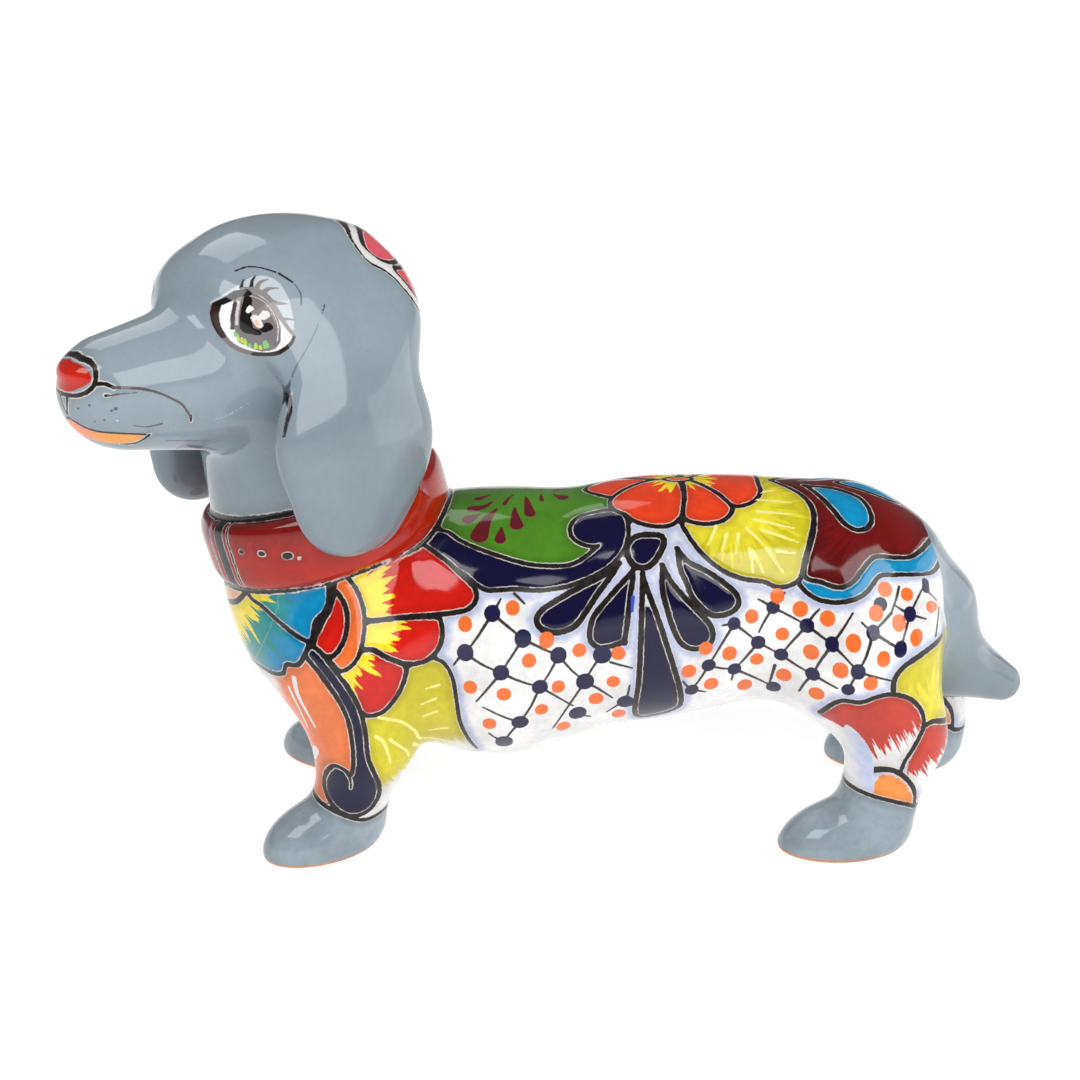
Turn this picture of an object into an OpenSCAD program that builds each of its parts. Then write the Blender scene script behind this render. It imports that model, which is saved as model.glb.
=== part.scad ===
// Standing dachshund figurine in glazed earthenware: hollow castings luted together,
// nose towards -X, head turned over its left shoulder (-Y), soles on z = 0.

/* [Body] */
// Height of the level back above the soles
back_z = 108; // [100:1:116]
// Distance from the chest ball to the rump ball
body_span = 151; // [140:1:165]
// Radius of the chest
chest_r = 34; // [30:0.5:38]
// Radius of the belly, the deepest part of the body
belly_r = 41.5; // [38:0.5:45]
// Radius of the loins
loin_r = 35; // [32:0.5:38]
// Width of the body as a share of its depth
body_flat = 0.93; // [0.85:0.01:1]
// Thickness of the fired clay wall
wall = 4.5; // [3.5:0.5:6]
// Radius of the kiln vent under the belly
vent_r = 5; // [3:0.5:7]

/* [Neck and collar] */
// Radius of the neck where it leaves the body
neck_r = 34; // [31:0.5:36]
// Outer radius of the collar band
collar_r = 36; // [35:0.5:39]
// Height of the collar band
collar_h = 20; // [16:1:24]
// Forward tilt of the collar, higher at the back
collar_tilt = 14; // [8:1:16]

/* [Head] */
// Turn of the head from straight ahead, towards the left side
head_turn = 45; // [30:1:60]
// Height of the middle of the skull
head_z = 158; // [154:1:164]
// Radius of the skull across its width
skull_r = 33.5; // [31:0.5:36]
// Distance from the middle of the skull to the muzzle's end ball
muzzle_reach = 60; // [54:1:66]
// Radius of the muzzle at its end
muzzle_r = 14.5; // [12:0.5:17]

/* [Ears] */
// Half of the ear's width where it is widest
ear_r = 24; // [20:0.5:27]
// Drop from the ear's root to the middle of its tip
ear_drop = 48; // [42:1:54]
// Thickness of the ear as a share of its width
ear_flat = 0.33; // [0.25:0.01:0.4]
// Outward tilt of the ear's tip
ear_splay = 8; // [4:1:12]

/* [Legs] */
// Distance of each ankle from the middle plane
stance = 28; // [25:1:31]
// Radius of the ankles
ankle_r = 12; // [10:0.5:14]
// Half of the paw's length
paw_l = 20; // [17:0.5:23]
// Half of the paw's width
paw_w = 13; // [11:0.5:15]
// Outward turn of the front paws
front_toe_out = 28; // [15:1:35]

/* [Tail] */
// Radius of the tail at its root
tail_r = 15; // [12:0.5:17]
// Radius of the tail's tip
tail_tip_r = 7; // [5:0.5:9]

/* [Hidden] */
// Facets round each ball
facets = 24;
// Shift from the middle plane and belly to the middle of the whole outline
origin_shift = [-10.9, 6.7, 0];
// Balls along the body, each [centre, radius], all touching the back line
chest_x = -60;
rump_x = chest_x + body_span;
body_balls = [
    [[chest_x, 0, back_z - chest_r], chest_r],
    [[0, 0, back_z - belly_r], belly_r],
    [[rump_x - 29, 0, back_z - loin_r], loin_r],
    [[rump_x, 0, back_z - loin_r], loin_r - 0.5],
];
// Place of the kiln vent along the belly
vent_x = 20;
// Balls up the neck
neck_balls = [[[-62, 0, 84], neck_r], [[-67, 0, 112], neck_r - 1.5], [[-72, 0, 140], neck_r - 3]];
// Middle of the collar on the neck's axis, and the radius of its bore
collar_at = [-64, 0, 101];
collar_bore_r = neck_r - 2.5;
// Rounding of the collar's outer edges
collar_edge = 2.5;
// Middle of the skull
head_at = [-74, -2, head_z];
// Balls along the muzzle and the jaw, in the head's own frame: x ahead, y to the left
muzzle_balls = [
    [[0, 0, 0], skull_r - 0.5],
    [[24, 0, -4], (skull_r + muzzle_r) / 2 + 1.5],
    [[muzzle_reach, 0, -5], muzzle_r],
];
jaw_balls = [[[-5, 0, -10], 22], [[muzzle_reach - 4, 0, -9], muzzle_r - 3]];
// Middle of the left eye's bulge, in the head's own frame
eye_at = [26, 11, 9];
// Balls down an ear, from its root
ear_balls = [
    [[-4, 0, 6], ear_r - 7],
    [[-2, 0, 20 - ear_drop], ear_r],
    [[3, 0, 6 - ear_drop], ear_r - 6],
];
ear_out = skull_r + 3.5;
// Hip, knee and ankle of each leg on the left side, and the middle of its paw
front_balls = [[[-60, 20, 62], 24], [[-54, stance - 1, 36], 14], [[-57, stance, 18], ankle_r]];
near_rear_balls = [[[96, 18, 62], 26], [[108, stance - 1, 38], 14], [[103, stance, 17], ankle_r]];
far_rear_balls = [[[98, 18, 62], 26], [[128, stance - 1, 38], 14], [[130, stance, 17], ankle_r]];
front_paw = [-66, stance + 3, 7];
near_rear_paw = [95, stance + 1, 7];
far_rear_paw = [121, stance + 1, 7];
rear_toe_out = 8;
// Balls down the tail
tail_balls = [[[112, 0, 84], tail_r], [[130, 0, 56], tail_r], [[146, 0, 44], tail_tip_r]];

function mix(a, b, t) = a + (b - a) * t;
function ease(t) = t * t * (3 - 2 * t);

// One ball part of the way between two key balls, with its radius easing over
module between(a, b, t, grow) {
    translate(mix(a[0], b[0], t)) sphere(r = mix(a[1], b[1], ease(t)) + grow, $fn = facets);
}

// A limb: hulls of neighbouring balls from key to key, made thinner or fatter by grow
module limb(balls, steps, grow = 0) {
    for (k = [0 : len(balls) - 2], i = [0 : steps - 1])
        hull() {
            between(balls[k], balls[k + 1], i / steps, grow);
            between(balls[k], balls[k + 1], (i + 1) / steps, grow);
        }
}

// An egg with the three half-sizes given
module egg(half) {
    scale(half) sphere(r = 1, $fn = facets);
}

// Puts its children in the head's own frame
module in_head() {
    translate(head_at) rotate([0, 0, 180 + head_turn]) children();
}

module torso_solid(grow = 0) {
    scale([1, body_flat, 1]) hull()
        for (ball = body_balls) translate(ball[0]) sphere(r = ball[1] + grow, $fn = 32);
}

module neck_solid(grow = 0) {
    limb(neck_balls, 4, grow);
}

// Keeps what is above (1) or below (-1) the plane through the middle of the collar
module side_of_collar(up) {
    intersection() {
        children();
        translate(collar_at) rotate([0, -collar_tilt, 0])
            translate([-100, -100, min(up, 0) * 200]) cube(200);
    }
}

// The body with the stump that the neck stands on, as one solid
module body_solid() {
    torso_solid();
    side_of_collar(-1) neck_solid();
}

module head_solid(grow = 0) {
    in_head() {
        egg([skull_r + 4.5 + grow, skull_r + grow, skull_r + grow]);
        limb(muzzle_balls, 2, grow);
        limb(jaw_balls, 4, grow);
        for (side = [-1, 1])
            translate([eye_at.x, side * eye_at.y, eye_at.z])
                egg([13 + grow, 11.5 + grow, 12 + grow]);
    }
}

module collar_band() {
    translate(collar_at) rotate([0, -collar_tilt, 0]) rotate_extrude($fn = 96) {
        translate([collar_bore_r, -collar_h / 2])
            square([collar_r - collar_edge - collar_bore_r, collar_h]);
        translate([collar_r - collar_edge, collar_edge - collar_h / 2])
            square([collar_edge, collar_h - 2 * collar_edge]);
        for (up = [-1, 1])
            translate([collar_r - collar_edge, up * (collar_h / 2 - collar_edge)])
                circle(r = collar_edge, $fn = 48);
    }
}

// What the collar takes out of the pieces that it lies in
module collar_seat() {
    translate(collar_at) rotate([0, -collar_tilt, 0]) difference() {
        cylinder(r = collar_r, h = collar_h, center = true, $fn = 2 * facets);
        cylinder(r = collar_bore_r, h = 2 * collar_h, center = true, $fn = 2 * facets);
    }
}

module ear_solid(side) {
    in_head() translate([2, side * ear_out, 0]) rotate([side * ear_splay, 0, 0])
        scale([1, ear_flat, 1]) limb(ear_balls, 4);
}

// A solid leg cut off flat at the sole; side is -1 on the left, 1 on the right
module leg_solid(side, balls, paw, toe_out) {
    intersection() {
        scale([1, side, 1]) {
            limb(balls, 4);
            translate(paw) rotate([0, 0, -toe_out]) egg([paw_l, paw_w, paw_w + 0.5]);
        }
        translate([-200, -100, 0]) cube([400, 200, 100]);
    }
}

module torso_shell() {
    color("ivory") translate(origin_shift) difference() {
        body_solid();
        torso_solid(-wall);
        neck_solid(-wall);
        translate([vent_x, 0, 0]) cylinder(r = vent_r, h = back_z / 2, $fn = facets);
        collar_seat();
    }
}

module neck_shell() {
    color("slategray") translate(origin_shift) difference() {
        side_of_collar(1) neck_solid();
        neck_solid(-wall);
        torso_solid();
        head_solid();
        collar_seat();
    }
}

module head_shell() {
    color("slategray") translate(origin_shift) difference() {
        head_solid();
        head_solid(-wall);
        neck_solid(-wall);
    }
}

module collar() {
    color("firebrick") translate(origin_shift) collar_band();
}

module nose() {
    color("red") translate(origin_shift) difference() {
        in_head() translate([muzzle_reach + 9.5, 0, 0]) egg([7, 9, 7.5]);
        head_solid();
    }
}

module ear(side) {
    color("slategray") translate(origin_shift) difference() {
        ear_solid(side);
        head_solid();
        neck_solid();
        torso_solid();
        collar_seat();
    }
}

module leg(side, balls, paw, toe_out) {
    color("lightsteelblue") translate(origin_shift) difference() {
        leg_solid(side, balls, paw, toe_out);
        body_solid();
    }
}

module tail() {
    color("slategray") translate(origin_shift) difference() {
        limb(tail_balls, 4);
        torso_solid();
        leg_solid(-1, near_rear_balls, near_rear_paw, rear_toe_out);
        leg_solid(1, far_rear_balls, far_rear_paw, rear_toe_out);
    }
}

torso_shell();
neck_shell();
head_shell();
collar();
nose();
ear(1);  // left_ear
ear(-1);  // right_ear
leg(-1, front_balls, front_paw, front_toe_out);  // front_left_leg
leg(1, front_balls, front_paw, front_toe_out);  // front_right_leg
leg(-1, near_rear_balls, near_rear_paw, rear_toe_out);  // rear_left_leg
leg(1, far_rear_balls, far_rear_paw, rear_toe_out);  // rear_right_leg
tail();
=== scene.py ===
"""Dachshund figurine in glazed earthenware: hollow clay skins, hand-painted glazes and a plain studio.

Shape and paint are worked out in millimetres in the dog's own frame: nose towards -X, the dog's left
side towards -Y, soles on z = 0. Each skin is moved into the frame of the CAD model when it is made.
"""
import math

import bmesh
import bpy
import numpy as np
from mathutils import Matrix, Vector


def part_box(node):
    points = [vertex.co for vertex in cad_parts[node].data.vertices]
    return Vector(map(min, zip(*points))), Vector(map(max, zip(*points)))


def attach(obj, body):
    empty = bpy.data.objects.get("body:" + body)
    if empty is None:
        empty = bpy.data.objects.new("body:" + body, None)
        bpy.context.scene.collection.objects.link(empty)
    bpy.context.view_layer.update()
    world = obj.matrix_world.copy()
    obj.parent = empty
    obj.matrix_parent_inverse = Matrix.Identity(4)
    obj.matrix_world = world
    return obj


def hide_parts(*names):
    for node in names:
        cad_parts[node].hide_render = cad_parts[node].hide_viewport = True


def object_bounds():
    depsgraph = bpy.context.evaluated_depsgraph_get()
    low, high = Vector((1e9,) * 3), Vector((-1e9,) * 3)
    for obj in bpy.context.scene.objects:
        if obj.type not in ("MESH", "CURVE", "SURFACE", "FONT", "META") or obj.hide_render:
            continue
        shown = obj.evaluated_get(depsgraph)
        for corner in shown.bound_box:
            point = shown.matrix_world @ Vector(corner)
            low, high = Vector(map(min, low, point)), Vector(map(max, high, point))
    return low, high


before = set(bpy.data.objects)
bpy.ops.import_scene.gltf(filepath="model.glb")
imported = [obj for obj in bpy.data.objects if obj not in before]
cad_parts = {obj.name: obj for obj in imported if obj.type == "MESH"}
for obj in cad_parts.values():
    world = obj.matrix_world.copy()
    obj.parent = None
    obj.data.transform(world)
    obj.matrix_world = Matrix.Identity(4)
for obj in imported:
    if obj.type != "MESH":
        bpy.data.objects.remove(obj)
cad_box = [list(corner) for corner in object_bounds()]

MM = 0.001
FLOAT = np.float32

# ---------------------------------------------------------------- dimensions, mm
GRID = 0.8  # spacing of the points that the clay is sampled at
GRID_LOW = (-140.0, -68.0, -4.0)
GRID_HIGH = (160.0, 54.0, 198.0)
FAR = 20.0  # distance given outside a part's box
MARGIN = 6  # how far a part is worked out beyond its box
WALL = 4.5
BODY_FLAT = 0.93  # width of the body as a share of its depth
HEAD_AT = (-74, -2, 158)
HEAD_TURN = 45
COLLAR_AT = (-64, 0, 101)
COLLAR_SHIFT = (-2.2, 0, 0)
COLLAR_TILT = 14
COLLAR_R = 36
COLLAR_CORE = 31.3  # radius of the middle of the collar's thickness
COLLAR_DEEP = 7
COLLAR_HALF = 10.5
EAR_SPLAY = 8
EAR_FLAT = 0.33
EAR_HUG = 0.014  # how fast the ear's root bends in to lie on the skull
EAR_HUG_FROM = -16  # height above the root's middle where the bend begins
FAR_REAR_BACK = 24  # how much farther back the far hind paw stands than the near one
VENT_X = 20
VENT_R = 5
SOLE_ROUND = 3
SOLE_BARE = 1.6  # height of the bare clay round the soles
# Rounding that the charts unroll: the back, the breast, the muzzle's end, the nape and the collar's edges
RIDGE_Z = 70
SIDE_R = 38
SIDE_S = 59.7
CHEST_X = -60
CHEST_R = 34
MUZZLE_X = 58
MUZZLE_R = 15
NAPE_R = 35
COLLAR_ROLL = 12


def dog_origin():
    """Where the dog's own origin lies in the CAD frame: the collar's middle is known in both."""
    low, high = (np.array(corner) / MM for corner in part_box("collar"))
    middle = (low + high) / 2
    return np.array([middle[0] - COLLAR_AT[0], middle[1] - COLLAR_AT[1], 0])


# ---------------------------------------------------------------- distance functions
def turn(yaw=0, pitch=0, roll=0):
    """Rotation matrix from angles in degrees, about Z, then Y, then X."""
    cy, sy = math.cos(math.radians(yaw)), math.sin(math.radians(yaw))
    cp, sp = math.cos(math.radians(pitch)), math.sin(math.radians(pitch))
    cr, sr = math.cos(math.radians(roll)), math.sin(math.radians(roll))
    about_z = np.array([[cy, -sy, 0], [sy, cy, 0], [0, 0, 1]])
    about_y = np.array([[cp, 0, sp], [0, 1, 0], [-sp, 0, cp]])
    about_x = np.array([[1, 0, 0], [0, cr, -sr], [0, sr, cr]])
    return (about_z @ about_y @ about_x).astype(FLOAT)


def cone(p, a, b, ra, rb):
    """Distance to the hull of a ball ra at a and a ball rb at b."""
    a = np.asarray(a, FLOAT)
    axis = np.asarray(b, FLOAT) - a
    length = float(np.linalg.norm(axis))
    q = p - a
    along = q @ (axis / length)
    out = np.sqrt(np.maximum((q * q).sum(-1) - along * along, 0))
    lean = (ra - rb) / length
    flank = math.sqrt(1 - lean * lean)
    k = flank * along - lean * out
    start = np.sqrt(out * out + along * along) - ra
    end = np.sqrt(out * out + (along - length) ** 2) - rb
    return np.where(k < 0, start, np.where(k > flank * length, end, flank * out + lean * along - ra))


def egg(p, centre, half, spin=None):
    """Near distance to an ellipsoid with the half-sizes given."""
    q = p - np.asarray(centre, FLOAT)
    if spin is not None:
        q = q @ spin
    half = np.asarray(half, FLOAT)
    near = np.sqrt(((q / half) ** 2).sum(-1))
    slope = np.sqrt(((q / (half * half)) ** 2).sum(-1)) + 1e-6
    return near * (near - 1) / slope


def melt(a, b, reach):
    """Union of two distances with a fillet about reach wide."""
    h = np.maximum(reach - np.abs(a - b), 0) / reach
    return np.minimum(a, b) - h * h * h * reach / 6


def ease(t):
    """0 to 1, with a level start and end."""
    t = np.clip(t, 0, 1)
    return t * t * (3 - 2 * t)


# ---------------------------------------------------------------- the clay parts
def head_space(p):
    """Coordinates x ahead, y to the left, z up in the turned head."""
    yaw = math.radians(HEAD_TURN)
    ahead = np.array([-math.cos(yaw), -math.sin(yaw), 0])
    left = np.cross([0, 0, 1], ahead)
    axes = np.stack([ahead, left, [0, 0, 1]], 1).astype(FLOAT)
    return (p - np.asarray(HEAD_AT, FLOAT)) @ axes


def collar_space(p):
    """Coordinates with z along the collar's axis."""
    middle = np.add(COLLAR_AT, COLLAR_SHIFT).astype(FLOAT)
    return (p - middle) @ turn(pitch=-COLLAR_TILT)


def torso(p):
    q = p / np.asarray([1, BODY_FLAT, 1], FLOAT)
    chest = cone(q, (-61, 0, 70.5), (-14, 0, 64), 35, 40.5)
    belly = cone(q, (-14, 0, 64), (36, 0, 72.3), 40.5, 36.2)
    loin = cone(q, (36, 0, 72.3), (60, 0, 75.3), 36.2, 33.4)
    rump = cone(q, (60, 0, 75.3), (90.5, 0, 75), 33.4, 35)
    return melt(melt(melt(chest, belly, 14), loin, 14), rump, 14)


def neck(p):
    return cone(p, (-65, 0, 84), (-74, 0, 140), 34, 31)


def collar(p):
    c = collar_space(p)
    out = (np.hypot(c[..., 0], c[..., 1]) - COLLAR_CORE) / COLLAR_DEEP
    up = c[..., 2] / COLLAR_HALF
    return (np.sqrt(np.sqrt(out ** 4 + up ** 4)) - 1) * COLLAR_DEEP


def head(p):
    h = head_space(p)
    skull = egg(h, (-1, 0, 0.5), (38, 34, 32.5))
    brow = egg(h, (15, 0, 11), (25, 30, 20.5))
    muzzle = cone(h, (20, 0, -7.5), (61, 0, -6), 23.5, 15)
    jaw = cone(h, (-5, 0, -10), (57, 0, -10.4), 22, 12)
    return melt(melt(melt(skull, brow, 10), muzzle, 9), jaw, 12)


def nose(p):
    return egg(head_space(p), (66, 0, 0), (10, 10.5, 5.5))


def ear(side, ahead, out, low, wide):
    """Distance function of one hanging ear; side is 1 on the dog's left."""
    def distance(p):
        e = (head_space(p) - np.asarray([ahead, side * out, low], FLOAT)) @ turn(roll=side * EAR_SPLAY)
        e[..., 1] += side * EAR_HUG * np.maximum(e[..., 2] - EAR_HUG_FROM, 0) ** 2
        e = e / np.asarray([wide, EAR_FLAT, 1], FLOAT)
        root = cone(e, (-6, 0, 4), (-1, 0, -28), 15.5, 25)
        flap = melt(root, cone(e, (-1, 0, -28), (3, 0, -42), 25, 19), 6)
        return flap * 0.5
    return distance


def ear_fillet(p):
    """The ear melts into the skull at its root and hangs free below."""
    return 4 + 20 * ease((p[..., 2] - 132) / 34)


def leg(side, hip, knee, ankle, radii, paw, paw_half, toe_out, dip):
    """Distance function of one leg; side is -1 on the dog's left."""
    def distance(p):
        q = p * np.asarray([1, side, 1], FLOAT)
        thigh = cone(q, hip, knee, radii[0], radii[1])
        shin = cone(q, knee, ankle, radii[1], radii[2])
        foot = egg(q, paw, paw_half, turn(yaw=-toe_out, pitch=-dip))
        return melt(melt(thigh, shin, 10), foot, 10)
    return distance


# Hip, knee and ankle, their radii, the paw's middle and half-sizes, and its turn out and dip in degrees
NEAR_FRONT = ((-58, 20, 62), (-54, 27, 36), (-58.5, 28, 18), (24, 14, 11.5), (-67.3, 31, 4.7),
              (20, 12.5, 12), 28, 10)
FAR_FRONT = ((-58, 20, 62), (-51, 27, 34), (-60, 28, 17), (24, 13.5, 11.5), (-71, 31, 3),
             (20.5, 12.5, 12), 28, 6)
NEAR_REAR = ((98, 18, 62), (110, 27, 38), (105.5, 28, 17), (25, 13.5, 12), (95.3, 29, 3), (21.5, 13, 12),
             8, 12)
FAR_REAR = ((99, 18, 62), (130.5, 27, 38), (133, 28, 17), (26, 14, 12.5), (121.5, 29, 5), (23, 13.5, 13),
            8, 10)


def tail(p):
    root = cone(p, (111, 0, 84), (122.5, 0, 69), 15, 14.5)
    dock = cone(p, (122.5, 0, 69), (130, 0, 52), 14.5, 12)
    tip = cone(p, (130, 0, 51), (148.3, 0, 42.8), 12, 6.3)
    return melt(melt(root, dock, 6), tip, 6)


# Node, distance function, fillet to the parts before it, and a box round it
PARTS = [
    ("torso_shell", torso, 0, (-105, -45, 15, 135, 45, 115)),
    ("neck_shell", neck, 8, (-110, -40, 45, -25, 40, 178)),
    ("collar", collar, 2, (-105, -41, 78, -22, 41, 124)),
    ("head_shell", head, 12, (-142, -60, 118, -32, 45, 196)),
    ("nose", nose, 2, (-140, -66, 146, -110, -38, 170)),
    ("front_left_leg", leg(-1, *NEAR_FRONT), 16, (-92, -52, -3, -28, 12, 92)),
    ("front_right_leg", leg(1, *FAR_FRONT), 16, (-98, -12, -3, -28, 52, 92)),
    ("rear_left_leg", leg(-1, *NEAR_REAR), 18, (64, -52, -3, 132, 14, 96)),
    ("rear_right_leg", leg(1, *FAR_REAR), 18, (64, -14, -3, 150, 52, 96)),
    ("left_ear", ear(1, 8, 34, 3.5, 1.06), ear_fillet, (-118, -68, 94, -20, 34, 192)),
    ("right_ear", ear(-1, 2.5, 36.5, -1.5, 1), ear_fillet, (-140, -44, 94, -24, 46, 192)),
    ("tail", tail, 8, (92, -20, 30, 158, 20, 104)),
]
NAMES = [part[0] for part in PARTS]
SHELLS = ("torso_shell", "neck_shell", "head_shell", "collar")


def inside_box(p, box):
    """True for points in the box or just outside it."""
    low = np.asarray(box[:3], FLOAT) - MARGIN
    high = np.asarray(box[3:], FLOAT) + MARGIN
    return np.all((p > low) & (p < high), axis=-1)


def clay(p):
    """Distance to the outside of the whole dog, cut flat at the soles."""
    p = p.astype(FLOAT)
    field = np.full(len(p), FAR, FLOAT)
    for _, distance, reach, box in PARTS:
        near = inside_box(p, box)
        field[near] = join(field[near], distance(p[near]), reach, p[near])
    return -melt(-field, p[:, 2], SOLE_ROUND)


def join(field, distance, reach, p):
    """Union of the clay so far with one part; its fillet may depend on the place."""
    if callable(reach):
        reach = reach(p)
    elif not reach:
        return np.minimum(field, distance)
    return melt(field, distance, reach)


def part_distances(p):
    """Distance of each point to each part alone, one column per part."""
    p = p.astype(FLOAT)
    found = np.full((len(p), len(PARTS)), FAR, FLOAT)
    for k, (_, distance, _, box) in enumerate(PARTS):
        near = inside_box(p, box)
        found[near, k] = distance(p[near])
    return found


def gradient(function, p, reach=0.15):
    """Slope of a function of position, from four points round each point."""
    corners = np.array([[1, -1, -1], [-1, -1, 1], [-1, 1, -1], [1, 1, 1]], FLOAT)
    total = 0
    for corner in corners:
        value = function(p + corner * reach)
        total = total + (value[:, None] if value.ndim == 1 else value[:, :, None]) * corner
    return total / (4 * reach)


# ---------------------------------------------------------------- surface from the distances
def sample_grid():
    """Clay distances on a regular grid round the dog."""
    low = np.array(GRID_LOW)
    shape = np.ceil((GRID_HIGH - low) / GRID).astype(int)
    field = np.full(shape, FAR, FLOAT)
    axes = [(low[k] + GRID * np.arange(shape[k])).astype(FLOAT) for k in range(3)]
    for _, distance, reach, box in PARTS:
        cut = []
        for k in range(3):
            first = max(int((box[k] - MARGIN - low[k]) / GRID), 0)
            last = min(int((box[k + 3] + MARGIN - low[k]) / GRID) + 1, shape[k])
            cut.append(slice(first, last))
        mesh = np.stack(np.meshgrid(*[axes[k][cut[k]] for k in range(3)], indexing="ij"), -1)
        field[tuple(cut)] = join(field[tuple(cut)], distance(mesh), reach, mesh)
    return -melt(-field, axes[2][None, None, :], SOLE_ROUND), low


CORNERS = [(0, 0, 0), (1, 0, 0), (0, 1, 0), (1, 1, 0), (0, 0, 1), (1, 0, 1), (0, 1, 1), (1, 1, 1)]
EDGES = [(0, 1), (2, 3), (4, 5), (6, 7), (0, 2), (1, 3), (4, 6), (5, 7), (0, 4), (1, 5), (2, 6), (3, 7)]


def surface_net(field, low):
    """One vertex in each grid cell that the surface crosses, and one quad across each crossed grid edge."""
    solid = field < 0
    cells = tuple(n - 1 for n in field.shape)
    count = np.zeros(cells, np.int8)
    for dx, dy, dz in CORNERS:
        count += solid[dx:cells[0] + dx, dy:cells[1] + dy, dz:cells[2] + dz]
    crossed = (count > 0) & (count < 8)
    where = np.argwhere(crossed)
    number = np.full(cells, -1, np.int64)
    number[crossed] = np.arange(len(where))
    value = [field[where[:, 0] + a, where[:, 1] + b, where[:, 2] + c] for a, b, c in CORNERS]
    total = np.zeros((len(where), 3))
    hits = np.zeros(len(where))
    for first, second in EDGES:
        v0, v1 = value[first], value[second]
        hit = (v0 < 0) != (v1 < 0)
        share = np.where(hit, v0 / np.where(hit, v0 - v1, 1), 0)
        start, end = np.array(CORNERS[first], float), np.array(CORNERS[second], float)
        total[hit] += (start + share[:, None] * (end - start))[hit]
        hits[hit] += 1
    points = low + GRID * (where + total / hits[:, None])
    quads = [edge_quads(solid, number, axis) for axis in range(3)]
    return points, np.concatenate(quads)


def edge_quads(solid, number, axis):
    """Quads round the grid edges along one axis, wound so that they face outwards."""
    lower = np.take(solid, np.arange(solid.shape[axis] - 1), axis)
    upper = np.take(solid, np.arange(1, solid.shape[axis]), axis)
    edge = np.argwhere(lower != upper)
    side = [k for k in range(3) if k != axis]

    def cell(step0, step1):
        at = edge.copy()
        at[:, side[0]] -= step0
        at[:, side[1]] -= step1
        return number[at[:, 0], at[:, 1], at[:, 2]]

    quads = np.stack([cell(1, 1), cell(0, 1), cell(0, 0), cell(1, 0)], 1)
    outward = lower[edge[:, 0], edge[:, 1], edge[:, 2]]
    if axis == 1:
        outward = ~outward
    quads[~outward] = quads[~outward][:, ::-1]
    return quads


def settle(points, rounds=2):
    """Moves points onto the clay surface."""
    for _ in range(rounds):
        slope = gradient(clay, points)
        size = (slope * slope).sum(-1) + 1e-9
        points = points - np.clip(clay(points) / size, -1, 1)[:, None] * slope
    return points


def outward(points):
    """Unit normals of the clay surface."""
    slope = gradient(clay, points, 0.3)
    return slope / (np.linalg.norm(slope, axis=1)[:, None] + 1e-9)


def face_detail(points):
    """True where fine brushwork needs a much finer mesh: round the eyes and along the mouth."""
    x, s = head_chart(points)
    eyes = (np.abs(x - 29) < 13) & (np.abs(s + 12) < 14)
    mouth = (x > 46) & (s > -9) & (s < 24)
    on_head = (points[:, 2] > 120) & (points[:, 0] < -40)
    return on_head & (eyes | mouth)


def lattice_detail(points):
    """True on the flanks, where the thin lines of the lattice lie."""
    x, s = body_chart(points)
    return (x > -26) & (x < 124) & (s > 36) & (s < 95) & (points[:, 0] > -30)


def refine(points, quads):
    """Cuts the faces that need detail: in two each way on the flanks, in three on the face."""
    mesh = bpy.data.meshes.new("clay")
    mesh.from_pydata(points.tolist(), [], quads.tolist())
    work = bmesh.new()
    work.from_mesh(mesh)
    middles = points[quads].mean(1)
    for chosen, cuts in ((face_detail(middles), 2), (lattice_detail(middles), 1)):
        work.faces.ensure_lookup_table()
        edges = {edge for k in np.flatnonzero(chosen) for edge in work.faces[int(k)].edges}
        bmesh.ops.subdivide_edges(work, edges=list(edges), cuts=cuts, use_grid_fill=True)
    work.to_mesh(mesh)
    work.free()
    found = np.empty(len(mesh.vertices) * 3)
    mesh.vertices.foreach_get("co", found)
    faces = [tuple(face.vertices) for face in mesh.polygons]
    bpy.data.meshes.remove(mesh)
    return found.reshape(-1, 3), faces


# ---------------------------------------------------------------- charts: where paint lies, mm
def body_chart(p, far_rear=False):
    """X along the dog, unrolled round the chest, and S down from the ridge of the back."""
    x, y, z = p[:, 0].copy(), np.abs(p[:, 1]), p[:, 2]
    if far_rear:
        x = x - FAR_REAR_BACK * ease((66 - z) / 30)
    front = x < CHEST_X
    along = np.where(front, CHEST_X - CHEST_R * np.arctan2(CHEST_X - x, y), x)
    level = SIDE_S - (z - RIDGE_Z)
    over = SIDE_R * np.arctan2(y / BODY_FLAT, np.maximum(z - RIDGE_Z, 1e-3))
    share = ease((x - CHEST_X) / 30)
    down = np.where(z < RIDGE_Z, level, share * over + (1 - share) * level)
    return along, down


def head_chart(p):
    """X ahead along the head, unrolled round its ends, and S down from the middle of the skull."""
    h = head_space(p.astype(FLOAT))
    x, y = h[:, 0], np.abs(h[:, 1])
    tip = MUZZLE_X + MUZZLE_R * np.arctan2(x - MUZZLE_X, y)
    nape = -NAPE_R * np.arctan2(-x, y)
    return np.where(x > MUZZLE_X, tip, np.where(x < 0, nape, x)), -h[:, 2]


def collar_chart(p):
    """X round the collar, 0 on the near side and growing to the back, and S down over its rounded edges."""
    c = collar_space(p.astype(FLOAT))
    out = np.hypot(c[:, 0], c[:, 1]) - COLLAR_CORE
    over = np.arctan2(c[:, 2] / COLLAR_HALF, np.maximum(out, 0) / COLLAR_DEEP)
    return -COLLAR_R * np.arctan2(-c[:, 0], -c[:, 1]), -COLLAR_ROLL * over


# ---------------------------------------------------------------- colours
def rgb(red, green, blue):
    """A colour from its usual 0 to 255 values, in linear light."""
    value = np.array([red, green, blue]) / 255
    return np.where(value <= 0.04045, value / 12.92, ((value + 0.055) / 1.055) ** 2.4)


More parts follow.
